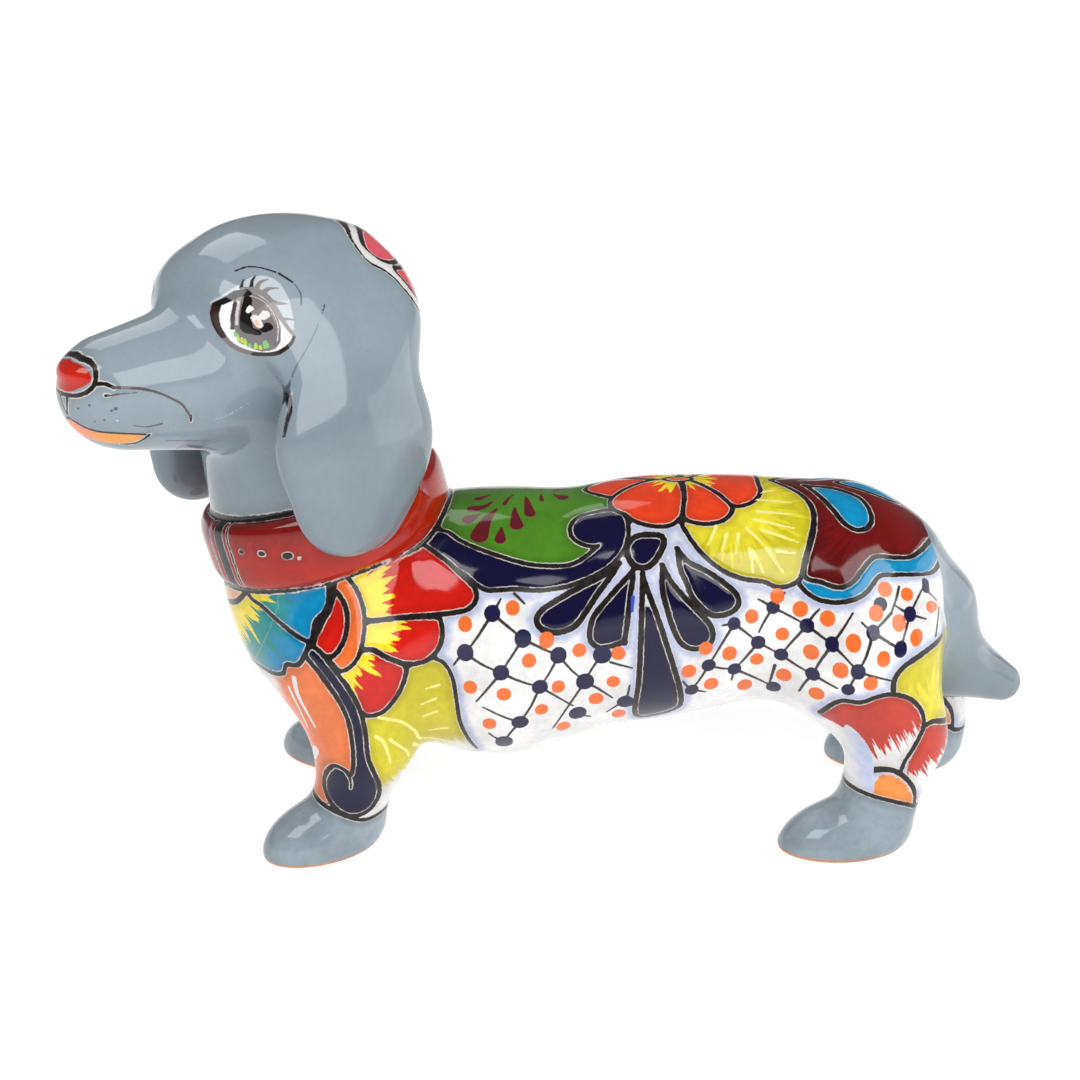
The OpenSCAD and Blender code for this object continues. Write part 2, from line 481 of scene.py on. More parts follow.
WHITE = rgb(230, 229, 228)
HALO = rgb(196, 204, 234)
GREY = rgb(139, 153, 162)
INK = rgb(18, 14, 12)
RED = rgb(208, 22, 8)
BRICK = rgb(192, 58, 42)
COLLAR_RED = rgb(170, 28, 2)
WINE = rgb(88, 4, 7)
DROP_WINE = rgb(98, 18, 30)
ORANGE = rgb(236, 112, 48)
FLOWER = rgb(230, 66, 28)
SALMON = rgb(236, 122, 66)
YELLOW = rgb(246, 222, 44)
LEAF = rgb(204, 192, 34)
LEAF_LIGHT = rgb(226, 212, 50)
PALE = rgb(236, 230, 138)
GREEN = rgb(72, 128, 28)
TEAL = rgb(0, 140, 138)
BLUE = rgb(0, 140, 190)
NAVY = rgb(7, 3, 50)
NAVY_DOT = rgb(24, 22, 62)
PINK = rgb(226, 84, 100)
CLAY = rgb(196, 140, 106)
BLACK = rgb(18, 16, 16)
SOOT = rgb(46, 28, 26)
SMOKE = rgb(52, 44, 46)
ASH = rgb(140, 132, 132)
MOUTH = rgb(92, 82, 80)
WHISKER = rgb(78, 88, 98)
# painted shade for the creases under the jaw
CREASE_SHADE = rgb(116, 118, 136)
# painted sheen on the eyelids
LID_SHEEN = rgb(186, 195, 200)
NOSE_RED = rgb(192, 30, 8)
LIME = rgb(190, 216, 84)
MINT = rgb(130, 196, 112)



# ---------------------------------------------------------------- brush
CLEAR = 9.0  # distance from a line that leaves no trace of it
CURVE_STEPS = 6  # straight pieces between two points of a curve
OVAL_POINTS = 8
LINE_REACH = 6  # how far round an outline its distance is worked out
BRUSH_REACH = 4  # the same beyond the width of a stroke
STREAK = 0.1  # how fast the brush streaks change along their way, next to across it
PLAIN = (-9.0, 0.0, 0.3)  # distance past a change of colour, its raggedness and softness: no change


def smooth(points, closed=True):
    """A curve through the points; a point given twice makes a corner."""
    p = np.array(points, float)
    n = len(p)
    index = np.arange(n if closed else n - 1)

    def at(k):
        return p[k % n] if closed else p[np.clip(k, 0, n - 1)]

    a, b, c, d = at(index - 1), at(index), at(index + 1), at(index + 2)
    out = []
    for t in np.arange(CURVE_STEPS) / CURVE_STEPS:
        out.append(0.5 * (2 * b + (c - a) * t + (2 * a - 5 * b + 4 * c - d) * t ** 2
                          + (3 * b - a - 3 * c + d) * t ** 3))
    curve = np.stack(out, 1).reshape(-1, p.shape[1])
    return curve if closed else np.vstack([curve, p[-1]])


class Canvas:
    """Paint on a set of surface points that have a place (x, s) on a chart."""

    def __init__(self, x, s, base):
        n = len(x)
        self.at = np.stack([x, s], 1)
        self.fill = np.tile(base, (n, 1))
        self.tint = np.tile(base, (n, 1))
        self.mark = np.tile(base, (n, 1))
        self.brush = np.column_stack([x, s, np.zeros(n)])
        self.change = np.tile(PLAIN, (n, 1))
        self.line = np.full(n, CLEAR)
        self.mark_line = np.full(n, CLEAR)

    def near(self, curve, margin):
        """Numbers of the points that a curve and the margin round it may touch."""
        low = curve[:, :2].min(0) - margin
        high = curve[:, :2].max(0) + margin
        return np.flatnonzero(np.all((self.at > low) & (self.at < high), axis=1))

    def area(self, points, fill, ink):
        """A closed patch of glaze, with an inked outline ink mm to each side of the curve."""
        curve = smooth(points)
        k = self.near(curve, LINE_REACH)
        gap, inside = outline_distance(self.at[k], curve)
        hit = k[inside]
        self.fill[hit] = fill
        self.tint[hit] = fill
        self.change[hit] = PLAIN
        self.mark_line[hit] = CLEAR
        own = gap - ink if ink else np.full(len(k), CLEAR)
        self.line[k] = np.where(inside, own, np.minimum(self.line[k], own))
        return hit

    def second(self, hit, past, tint, rag, soft):
        """A second colour where past is above zero; its edge is ragged or soft by so many mm."""
        self.tint[hit] = tint
        self.change[hit, 0] = past
        self.change[hit, 1] = rag
        self.change[hit, 2] = soft

    def fan(self, hit, centre, radius, tint, rag, soft=0.35):
        """A second colour within radius of a point, with brush streaks that run away from it."""
        away = self.at[hit] - centre
        far = np.hypot(away[:, 0], away[:, 1])
        angle = np.arctan2(away[:, 1], away[:, 0])
        self.brush[hit] = np.column_stack([angle * radius, far * STREAK, np.full(len(hit), radius)])
        self.second(hit, radius - far, tint, rag, soft)

    def wash(self, hit, start, ahead, tint, rag, soft=0.35, fine=1.0):
        """A second colour beyond a point, with brush streaks that run the way it is laid."""
        ahead = np.array(ahead, float) / math.hypot(*ahead)
        gone = (self.at[hit] - start) @ ahead
        across = (self.at[hit] - start) @ np.array([-ahead[1], ahead[0]])
        self.brush[hit] = np.column_stack([across * fine, gone * STREAK, np.full(len(hit), start[0])])
        self.second(hit, gone, tint, rag, soft)

    def stroke(self, points, wide=0.7, tip=None):
        """An inked line, wide mm to each side, that thins to tip at its far end."""
        k, gap = self.brush_gap(points, wide, wide if tip is None else tip)
        self.line[k] = np.minimum(self.line[k], gap)

    def daub(self, points, wide, colour, tip=None):
        """A coloured stroke over everything below it."""
        k, gap = self.brush_gap(points, wide, wide if tip is None else tip)
        over = (gap < 0) | ((self.mark_line[k] > 0) & (gap < self.mark_line[k]))
        self.mark[k[over]] = colour
        self.mark_line[k] = np.minimum(self.mark_line[k], gap)

    def dot(self, x, s, r, colour, tall=1.0):
        """A round dab, or one drawn out down the chart."""
        self.daub([(x, s - r * (tall - 1)), (x, s + r * (tall - 1) + 0.01)], r, colour)

    def brush_gap(self, points, wide, tip):
        """The points near a stroke, and how far outside its edge each one lies."""
        curve = smooth(points, closed=False) if len(points) > 2 else np.array(points, float)
        k = self.near(curve, max(wide, tip) + BRUSH_REACH)
        length = np.concatenate([[0], np.cumsum(np.hypot(*np.diff(curve, axis=0).T))])
        width = wide + (tip - wide) * length / length[-1]
        gap = np.full(len(k), CLEAR)
        for a, b, wa, wb in zip(curve, curve[1:], width, width[1:]):
            away, t = segment_distance(self.at[k], a, b)
            gap = np.minimum(gap, away - (wa + (wb - wa) * t))
        return k, gap

    def halo(self, colour, reach):
        """A pale wash on plain ground beside each inked outline."""
        plain = (self.change[:, 0] < PLAIN[0] + 1) & np.all(self.fill == WHITE, axis=1)
        self.second(plain, reach - self.line[plain], colour, rag=1.6, soft=1.4)


def segment_distance(at, a, b):
    """Distance to a straight piece of a curve, and how far along it the nearest point lies."""
    way = b - a
    t = np.clip(((at - a) @ way) / (way @ way + 1e-12), 0, 1)
    return np.hypot(*(at - a - t[:, None] * way).T), t


def outline_distance(at, curve):
    """Distance to a closed curve, and whether each point is inside it."""
    gap = np.full(len(at), 99.0)
    inside = np.zeros(len(at), bool)
    for a, b in zip(curve, np.roll(curve, -1, axis=0)):
        gap = np.minimum(gap, segment_distance(at, a, b)[0])
        if a[1] != b[1]:
            across = (a[1] > at[:, 1]) != (b[1] > at[:, 1])
            reach = a[0] + (at[:, 1] - a[1]) * (b[0] - a[0]) / (b[1] - a[1])
            inside ^= across & (at[:, 0] < reach)
    return gap, inside


def oval(x, s, half_x, half_s):
    """Points round an ellipse on a chart."""
    angles = [2 * math.pi * k / OVAL_POINTS for k in range(OVAL_POINTS)]
    return [(x + half_x * math.cos(a), s + half_s * math.sin(a)) for a in angles]


# ---------------------------------------------------------------- painting the body
def paint_back(c):
    """Green saddle with wine-red drops, the navy scroll and the flower on the ridge."""
    c.area([(-31, -8), (-29, 5), (-29.5, 14), (-30, 21), (-25, 26), (-15, 31), (-4, 34.5), (6, 35),
            (14, 32), (22, 28), (24, 14), (24, -8)], GREEN, 0.6)
    drops = [
        ([(-18, 24.5), (-16, 18), (-13, 12.5)], 2.8),
        ([(-11.8, 26), (-11.5, 21.5)], 1.8),
        ([(-7, 20.3), (-7.5, 16), (-7.6, 12)], 2.1),
        ([(-3, 14.8), (-3.8, 9), (-4.3, 4)], 1.8),
        ([(7, 4.8), (4, 2)], 1.9),
        ([(-21.5, 17.6), (-18, 15)], 2.0),
        ([(-20.5, 12.3), (-17, 11.3), (-14.5, 8.3)], 1.7),
        ([(-10.8, 10), (-9.5, 6), (-8, 3)], 0.7),
        ([(0.6, 7), (0.2, 2)], 0.8),
        ([(-19, 6), (-15, 3)], 1.3),
    ]
    for points, wide in drops:
        c.daub(points, wide, DROP_WINE, 0.35)
    c.area([(-34, 21), (-28, 22.3), (-24, 26), (-19, 29), (-12, 32), (-4, 34.4), (4, 34.9), (10, 34),
            (14.5, 31), (17, 28.6), (17, 28.6), (13.5, 28), (10.5, 26), (9, 23), (9.6, 19.3), (12, 16.5),
            (16, 15.3), (21, 15.2), (24.5, 17), (26.2, 20.5), (26.3, 25.5), (24.8, 30.5), (21, 35),
            (15, 38.5), (8, 41.2), (0, 42.5), (-8, 42.2), (-15, 42.6), (-18.5, 41), (-22, 38),
            (-27, 34.5), (-31, 30), (-36, 27)], NAVY, 0.7)


def paint_flower(c):
    """Orange-red petals round a small centre on the ridge, with a ragged yellow heart."""
    petals = [
        [(16, -8), (14, -2), (14.5, 2), (17.5, 5.8), (21.5, 9), (24, 8), (30, 3), (37, -2), (30, -8)],
        [(42.5, -1), (42.5, -1), (36, 0), (30, 2.5), (24, 7), (21.3, 11), (22, 15), (25.5, 18),
         (27.5, 20.3), (31, 22.3), (36, 23.3), (39.5, 22.5), (41.8, 20.3), (42.8, 18), (43.6, 10)],
        [(43.5, -1), (43.5, -1), (43.8, 10), (42.8, 18.5), (44, 21), (48, 22.2), (52, 22), (55.5, 20.5),
         (57.6, 17.5), (57, 14.5), (53, 9), (48, 3)],
        [(45, -2), (50, 5.5), (54, 10), (57.5, 15), (61, 15.4), (65, 12.8), (67, 8.5), (66.8, 4),
         (66, -2), (58, -6)],
    ]
    for outline in petals:
        hit = c.area(outline, FLOWER, 0.75)
        c.fan(hit, (43, -1), 8.5, YELLOW, rag=11)
    c.area(oval(42.5, -1.5, 5, 3.8), ORANGE, 0.6)


def paint_leaf(c):
    """Yellow-green fan leaf behind the flower, with pale strokes."""
    hit = c.area([(42.5, 20), (44, 26), (48.2, 32), (54, 36.7), (60, 39), (66, 39.8), (70, 41.3),
                  (74, 40.8), (77, 38.5), (78.5, 33), (80.5, 26), (82, 19), (81.3, 13), (79, 8), (75, 4),
                  (70, -1), (68, -6), (60, -4), (50, 10)], LEAF, 0.75)
    c.fan(hit, (57, 15), 17, LEAF_LIGHT, rag=14, soft=1.5)
    strokes = [((64.5, 12.5), (76, 13)), ((65, 17.5), (77, 18)), ((64, 20.5), (76, 23)),
               ((66, 24), (77, 27.5)), ((61.5, 23.5), (67.5, 30)), ((70, 30.5), (76, 31)),
               ((52.5, 23), (50, 29)), ((55.5, 25.5), (53.5, 32)), ((59, 25.5), (58, 31.5)),
               ((63, 30.5), (66, 37)), ((62, 30), (63, 37)), ((67, 29.5), (72, 37)), ((67, 9), (72, 7))]
    for start, end in strokes:
        c.daub([start, end], 0.55, PALE, 0.3)


def paint_rump(c):
    """Wine-red saddle over the rump with turquoise drops and a turquoise ribbon under it."""
    c.area([(77, 38.5), (78, 42), (82, 45), (87.5, 46), (93, 45), (97, 42.3), (100.5, 38), (106, 37),
            (112, 35.8), (117, 33.5), (120.5, 29), (123, 20), (124, 10), (116, 8), (100, 22), (84, 30)],
           BLUE, 0.75)
    hit = c.area([(68, -6), (72, 1), (76, 5), (80, 10), (82.2, 16), (81.6, 24), (79.5, 31), (78.3, 38),
                  (83.5, 40), (88.5, 41.6), (92.5, 39.8), (95.5, 36), (99.5, 31.8), (106, 31),
                  (111, 29.3), (115, 24.5), (118, 18.5), (121, 11), (124, 2), (126, -8), (100, -14),
                  (80, -10)], WINE, 0.75)
    c.fan(hit, (100, 16), 18, rgb(112, 8, 8), rag=20, soft=6)
    c.area([(81.5, 3), (81.5, 3), (88, 4.3), (94, 7.5), (97.3, 10), (99.2, 14), (99.6, 18.5), (98, 22),
            (94.5, 23.2), (91, 21), (88.3, 16), (85, 9.5)], BLUE, 0.8)
    c.area([(90, -4), (92, 1), (97, 3.7), (103, 4.9), (108.5, 3.7), (111, 0), (108, -5), (98, -7)], BLUE,
           0.7)


def paint_fan(c):
    """Navy drops that fan out under an oval, each with a bold outline."""
    c.area([(25.8, 31), (26.4, 28), (29, 26), (32.5, 25.8), (36, 26.4), (36.8, 28.7), (35.3, 32),
            (33, 35), (30, 36), (27.2, 34.6)], NAVY, 0.95)
    c.area([(23, 34.8), (23, 34.8), (18, 38.3), (12, 41.3), (5, 45.3), (0.5, 48.3), (-1, 51), (0.5, 53.5),
            (5, 54.7), (10, 53.2), (13.5, 49), (17, 43.5), (21.5, 37.5)], NAVY, 0.9)
    c.area([(27.3, 37), (27.3, 37), (24, 40.5), (19.5, 45.5), (16, 50), (14.8, 54), (15, 57.5),
            (17.5, 59.6), (21, 59.2), (25, 57.8), (25, 57.8), (25.8, 52), (26.5, 45), (27.4, 39)], NAVY,
           0.85)
    hit = c.area([(30.3, 38.5), (30.3, 38.5), (30, 48), (29.8, 60), (29.6, 72), (29, 82), (29.6, 87),
                  (32, 89), (36, 88), (40, 86.3), (43, 83), (42.5, 76), (41, 70), (38, 60), (35, 51),
                  (32.3, 44)], NAVY, 0.85)
    c.wash(hit, (30, 47), (0.1, -1), WHITE, rag=0.5)
    c.area([(36.2, 35.8), (36.2, 35.8), (39, 40.5), (43, 45), (47, 49), (50.5, 53), (51.3, 57),
            (49.5, 59.6), (45.5, 60.4), (42, 58.5), (39.5, 54), (37.5, 48), (36, 42)], NAVY, 0.85)
    c.area([(40.8, 30.8), (40.8, 30.8), (44, 34.3), (49, 36.8), (54, 40), (58, 43.5), (58.7, 46.5),
            (56.5, 49), (52, 50), (48.5, 48.3), (45, 44.5), (43, 40), (41.3, 36)], NAVY, 0.85)
    c.daub([(27.4, 44.5), (27.2, 48.5)], 0.6, rgb(60, 80, 190), 0.4)


def paint_shoulder(c):
    """Red petals with ragged yellow bases behind the shoulder, and the striped half-disc they grow from."""
    heart = (-66, 50)
    petals = [
        ([(-37, 26), (-29, 32), (-23, 38), (-19.3, 41.8), (-18.7, 45), (-21, 47.8), (-26, 49),
          (-35, 49.9), (-50, 50.6), (-52, 47), (-55, 42), (-60, 34), (-50, 32), (-42, 28)], 22),
        ([(-51, 51), (-40, 50.5), (-31, 50.2), (-29.2, 51.5), (-28.8, 56), (-30.5, 60), (-34, 63.2),
          (-39, 63.8), (-44, 61.5), (-49, 58.2), (-52, 57.5)], 23),
        ([(-52, 57.8), (-47, 59.3), (-42.5, 62.3), (-39.7, 64.5), (-40, 68), (-42, 73), (-45.5, 77.5),
          (-49, 79), (-52.5, 78), (-54.5, 73), (-57, 67.5), (-61, 62)], 20.5),
    ]
    for outline, radius in reversed(petals):
        hit = c.area(outline, RED, 0.75)
        c.fan(hit, heart, radius, YELLOW, rag=11)
    c.area([(-60, 34), (-56, 39), (-53, 44), (-51.5, 50), (-52, 56), (-54, 61), (-58, 63.6), (-61, 61),
            (-66, 54), (-64, 40)], ORANGE, 0.65)
    c.area([(-60.2, 42), (-57.5, 45.5), (-56.4, 50), (-57.3, 55), (-60, 59), (-62.5, 59.5), (-65.5, 56.5),
            (-64, 52), (-62.5, 48.5), (-61, 45)], RED, 0.75)


def paint_chest(c):
    """Turquoise petals round a ringed heart on the breast."""
    front = CHEST_X - CHEST_R * math.pi / 2
    heart = (front, 40)
    upper = [(-88, 46), (-86, 36), (-62, 36), (-62, 41), (-62, 45), (-63.5, 48.5), (-65.3, 50.5),
             (-65.5, 54), (-66.5, 56), (-70, 55.2), (-76, 52.6), (-82, 49.2)]
    lower = [(-90, 46), (-82, 49.2), (-76, 52.6), (-70, 55.2), (-66.8, 56.3), (-67.6, 60), (-69.5, 63.4),
             (-73.2, 64.5), (-74.6, 67.8), (-80, 70), (-88, 71.3), (-96, 72), (-104, 72.5), (-106, 62),
             (-100, 50)]
    middle = [(-106, 62), (-103, 72), (-108, 76), (front, 77), (front - 9, 74), (front - 9, 50),
              (-104, 50)]
    for outline in (middle, lower, upper):
        hit = c.area(outline, BLUE, 0.7)
        c.fan(hit, heart, 41, TEAL, rag=9, soft=3)
        inner = hit[np.hypot(*(c.at[hit] - heart).T) < 37]
        c.fill[inner] = TEAL
        c.fan(inner, heart, 31, YELLOW, rag=11)
    c.area(oval(front, 42, 26, 13.5), rgb(242, 186, 140), 0.9)
    c.area(oval(front, 42, 17, 8.5), BLUE, 0.8)
    c.stroke([(-60.5, 39.5), (-61, 44), (-62.5, 48.3), (-64.8, 50.3), (-65.5, 56)], 1.0)


def paint_elbow(c):
    """Yellow-green leaf behind the foreleg, under the petals of the shoulder."""
    hit = c.area([(-39.5, 65), (-33, 62.5), (-28, 64), (-25.3, 69), (-25, 80), (-23, 90), (-19, 98.5),
                  (-30, 102), (-38, 108), (-44, 118), (-56, 118), (-54, 100), (-54, 85), (-54, 76),
                  (-44, 74)], LEAF, 0)
    c.wash(hit, (-40, 101), (0.45, 1), WHITE, rag=5, soft=2.5)
    c.stroke([(-39.5, 64.3), (-36, 63.8), (-32.5, 62.2), (-28.5, 63.5), (-26, 68), (-25, 75), (-24.2, 84),
              (-22, 92), (-19.5, 98)], 0.65)
    c.daub([(-48, 80), (-42, 83), (-38, 88), (-35.5, 93), (-22, 97)], 0.55, PALE, 0.3)
    c.daub([(-49, 86), (-46.5, 89), (-45, 96)], 0.6, PALE, 0.3)
    c.daub([(-45, 88), (-41, 93), (-40, 96.5)], 0.5, PALE, 0.3)
    for start, end in (((-38.5, 93), (-36, 97.5)), ((-30, 71), (-34, 72.5)), ((-31, 76), (-36, 78.5)),
                       ((-31, 81), (-36, 83.5)), ((-28, 88), (-34, 89.5))):
        c.daub([start, end], 0.5, PALE, 0.3)


def paint_foreleg(c):
    """Salmon front of the foreleg, and the navy ribbon with its curl beside it."""
    hit = c.area([(-125, 70), (-104, 72.5), (-88, 71.3), (-80, 70), (-74.6, 67.8), (-73.2, 64.5),
                  (-69.5, 63.4), (-67.6, 60), (-64, 60), (-58, 68), (-54, 80), (-54, 98), (-56, 116),
                  (-66, 116), (-90, 114), (-125, 104)], SALMON, 0)
    c.wash(hit, (-79, 80), (-1, -0.15), WHITE, rag=3, soft=4)
    c.daub([(-70.8, 68), (-70, 75), (-66.5, 84.5)], 0.8, WHITE, 0.3)
    c.daub([(-73, 72), (-71, 80), (-69.5, 86)], 0.5, WHITE, 0.3)
    c.daub([(-67.6, 93.5), (-69.3, 97)], 1.3, WHITE, 1.2)
    c.area([(-66.8, 56.6), (-66.8, 56.6), (-63.5, 58.5), (-60, 63.3), (-56.5, 69), (-53.5, 76), (-52, 84),
            (-51.5, 92), (-50, 98), (-48.8, 103), (-49.5, 109), (-52.5, 113), (-57, 114), (-61.5, 112),
            (-65, 107), (-65.2, 102.5), (-63.5, 98.5), (-61.5, 96.3), (-59, 97), (-57, 98.7), (-56, 95),
            (-56, 88), (-57, 80), (-59.5, 73), (-63.5, 65), (-67.3, 60)], NAVY, 0.7)
    c.stroke([(-58, 98.5), (-57, 101), (-57.3, 104)], 0.5, 0.3)


def paint_hind_leg(c):
    """Leaf and brick-red patches with ragged ends down the hind leg."""
    thigh = [(87, 77), (90, 74.6), (95, 74.6), (99, 72.7), (104, 71.8), (110, 74.2), (114, 79)]
    shin = [(112, 89), (109.5, 94)]
    heel = [(114.6, 84)] + shin + [(108.5, 98.5)]
    hit = c.area([(104.5, 72), (104.8, 66.5), (109, 63), (114, 61.3), (122, 60.3), (130, 62), (130, 84),
                  (122, 86), (114, 84)], LEAF, 0)
    c.fan(hit, (118, 84), 14, LEAF_LIGHT, rag=16, soft=2)
    c.stroke([(104.5, 72.5), (104.3, 67.5), (106.5, 64), (111, 61.8), (116, 60.5), (121, 60)], 0.9)
    hit = c.area([(84, 82)] + thigh + [(114.7, 84)] + shin + [(108.5, 98), (98, 96), (95, 88), (90, 85)],
                 BRICK, 0)
    c.wash(hit, (103, 90), (0.55, 1), WHITE, rag=10, fine=2.4)
    c.stroke([(84.5, 81.5)] + thigh + heel, 0.85, 0.6)
    hit = c.area([(115.4, 84), (119, 83), (124, 85.5), (126, 95), (120, 108), (112, 103), (110, 97),
                  (112.5, 90)], BRICK, 0)
    c.wash(hit, (114, 99.5), (0.55, 1), WHITE, rag=10, fine=2.4)
    c.stroke([(114.4, 83.6), (118, 82.8), (124, 85.5)], 0.7)
    c.stroke(heel, 0.75, 0.6)
    c.area([(101.5, 110), (101.2, 104), (103.5, 99.5), (107, 99.5), (111, 103), (114.5, 111), (108, 112)],
           rgb(242, 142, 62), 0)
    c.stroke([(100, 99.3), (103, 97.7), (107, 97.7), (111, 101), (114, 106), (115, 111.5)], 1.1, 0.6)
    hit = c.area([(92, 84), (97, 88), (100.4, 95), (101, 107), (95, 107), (95, 98), (92, 90)], WHITE, 0)
    c.wash(hit, (96.2, 96), (1, -0.25), HALO, rag=2, soft=2.5)


def paint_paws(c):
    """Grey paws below an inked ankle line."""
    front = [(-80, 109), (-72, 109.5), (-66, 111), (-60, 113.5), (-54, 116), (-48, 115.5), (-38, 113)]
    rear = [(86, 107), (94, 106.8), (100, 107.3), (106, 108.3), (112, 110.5), (117, 113.5), (124, 114)]
    for ankle in (front, rear):
        toes, heel = ankle[0][0] - 30, ankle[-1][0] + 20
        c.area([(toes, 109)] + ankle + [(heel, 114), (heel, 140), (toes, 140)], GREY, 0.7)


# Navy dots, the lines between them and orange dots; a line's end is the number of a navy dot or a place
FRONT_NAVY = [(-14, 49), (-22, 60), (-5, 56), (-11.5, 66), (5.5, 61.5), (0, 71.5), (18.5, 62), (13.5, 71),
              (26, 80), (-6, 84.5), (-11, 93.5), (11.5, 83.5)]
FRONT_LINKS = [(0, 1), (0, 2), (1, 3), (2, 3), (2, 4), (3, 5), (4, 5), (4, 7), (6, 7), (5, 9),
               (5, (10, 80)), (7, (4, 89)), (7, (22, 78)), (9, 10), (9, (-17, 78)), (3, (-19, 76)),
               (10, (-15.5, 89)), (8, (27, 73)), (8, (20.5, 84.5)), (0, (-11.5, 45)),
               ((-7.5, 43.5), (-4.5, 46.3)), ((21, 64.5), (27.5, 66.5)), (1, (-25.5, 64)),
               (11, (15.5, 86))]
FRONT_ORANGE = [(-8, 47.5), (-22, 52), (2, 56.7), (-3.2, 62.5), (11.7, 60.3), (23.3, 61.5), (-20.7, 71),
                (-10.7, 73.3), (5.5, 72), (22, 71.5), (0.5, 80), (17, 78), (-15.2, 84.7), (7.2, 89),
                (24.2, 86)]
REAR_NAVY = [(69, 47.5), (57.5, 52.5), (79, 53), (65, 59), (86, 57.5), (50.5, 66.5), (58.5, 68.5),
             (72, 63), (46, 76), (71, 76), (81, 67.5), (93.5, 64.5), (91, 70.5), (100.3, 46.5),
             (109.5, 49.5), (97.7, 54), (106, 58.5)]
REAR_LINKS = [(0, 2), (2, 4), (4, 11), (11, (104, 67.5)), (0, (64.5, 45)), (0, (72.5, 43)),
              (0, (65, 55.5)), (1, 3), (3, 7), (7, 10), (10, (88, 70.5)), (1, 5), (1, (54, 53)), (3, 6),
              (2, 7), (2, (82.5, 48)), (4, 10), (4, (92, 49)), (10, (78, 75)), (5, 6), (6, 9), (5, 8),
              (8, (43, 72)), (8, (50.5, 77.5)), (6, (58, 73)), ((70.5, 67), (69.5, 76)), (11, 12),
              (15, 11), (15, (94.5, 51.5)), (15, 16), ((106.5, 41), (103.5, 49)), ((103.5, 49), 15),
              (14, 16), (14, (115, 40)), (14, (105, 47)), (14, (115, 51.5)), ((115, 40), (120, 45)),
              ((118.5, 58), (121, 48))]
REAR_ORANGE = [(70.2, 44), (62.7, 50.3), (77, 48), (84.8, 50.6), (72, 56), (80.3, 60.7), (49.3, 60.4),
               (56.6, 62.6), (65, 65), (44.6, 68.3), (51.8, 74), (62.3, 75.6), (73.3, 70.2), (82.6, 74),
               (88.5, 64.6), (92, 56.7), (97.3, 68), (100.8, 60.7), (98.8, 49), (105.7, 51.7),
               (111.3, 56.2), (102, 42), (109, 43.3), (117.7, 47.6)]


def line_ends(dots, links):
    """Both places of each line of the lattice."""
    return [[dots[end] if isinstance(end, int) else end for end in link] for link in links]


def paint_lattice(c):
    """Diamond lattice of thin lines, with navy dots where they cross and orange dots between."""
    dice = np.random.default_rng(7)
    for start, end in line_ends(FRONT_NAVY, FRONT_LINKS) + line_ends(REAR_NAVY, REAR_LINKS):
        middle_x = (start[0] + end[0]) / 2 + dice.uniform(-0.5, 0.5)
        middle = (middle_x, (start[1] + end[1]) / 2 + dice.uniform(-0.4, 0.4))
        c.daub([start, middle, end], dice.uniform(0.42, 0.55), rgb(58, 50, 48), 0.32)
    for x, s in FRONT_NAVY:
        c.dot(x, s, dice.uniform(2.4, 2.8), NAVY_DOT, dice.uniform(1.0, 1.1))
    for x, s in REAR_NAVY:
        c.dot(x, s, dice.uniform(1.9, 2.2), NAVY_DOT, dice.uniform(1.0, 1.12))
    c.daub([(116, 37.5), (116, 41)], 1.4, NAVY_DOT)
    for x, s in FRONT_ORANGE + REAR_ORANGE:
        c.dot(x, s, dice.uniform(2.0, 2.3), ORANGE, dice.uniform(1.02, 1.14))


def paint_body(points, name):
    """Paint of the body or of one leg, in the order that the patches overlap."""
    x, s = body_chart(points, far_rear=name == "rear_right_leg")
    c = Canvas(x, s, WHITE)
    paint_hind_leg(c)
    paint_back(c)
    paint_leaf(c)
    paint_rump(c)
    paint_flower(c)
    paint_fan(c)
    paint_elbow(c)
    paint_shoulder(c)
    paint_foreleg(c)
    paint_chest(c)
    paint_paws(c)
    c.halo(HALO, 1.8)
    paint_lattice(c)
    return c


# ---------------------------------------------------------------- painting the head and collar
# Green glints in the eye: place on the chart, length up from it and colour
EYE_GREENS = [(29.8, -5.1, 1.6, MINT), (30.2, -4.8, 1.5, MINT), (30.9, -4.4, 0.9, LIME),
              (31.6, -4.5, 1.3, LIME), (32.5, -4.9, 0.8, MINT), (33.2, -5.3, 1.6, LIME),
              (33.7, -5.9, 1.3, LIME), (34.3, -6.5, 1.5, LIME), (34.7, -7.6, 1.3, MINT)]


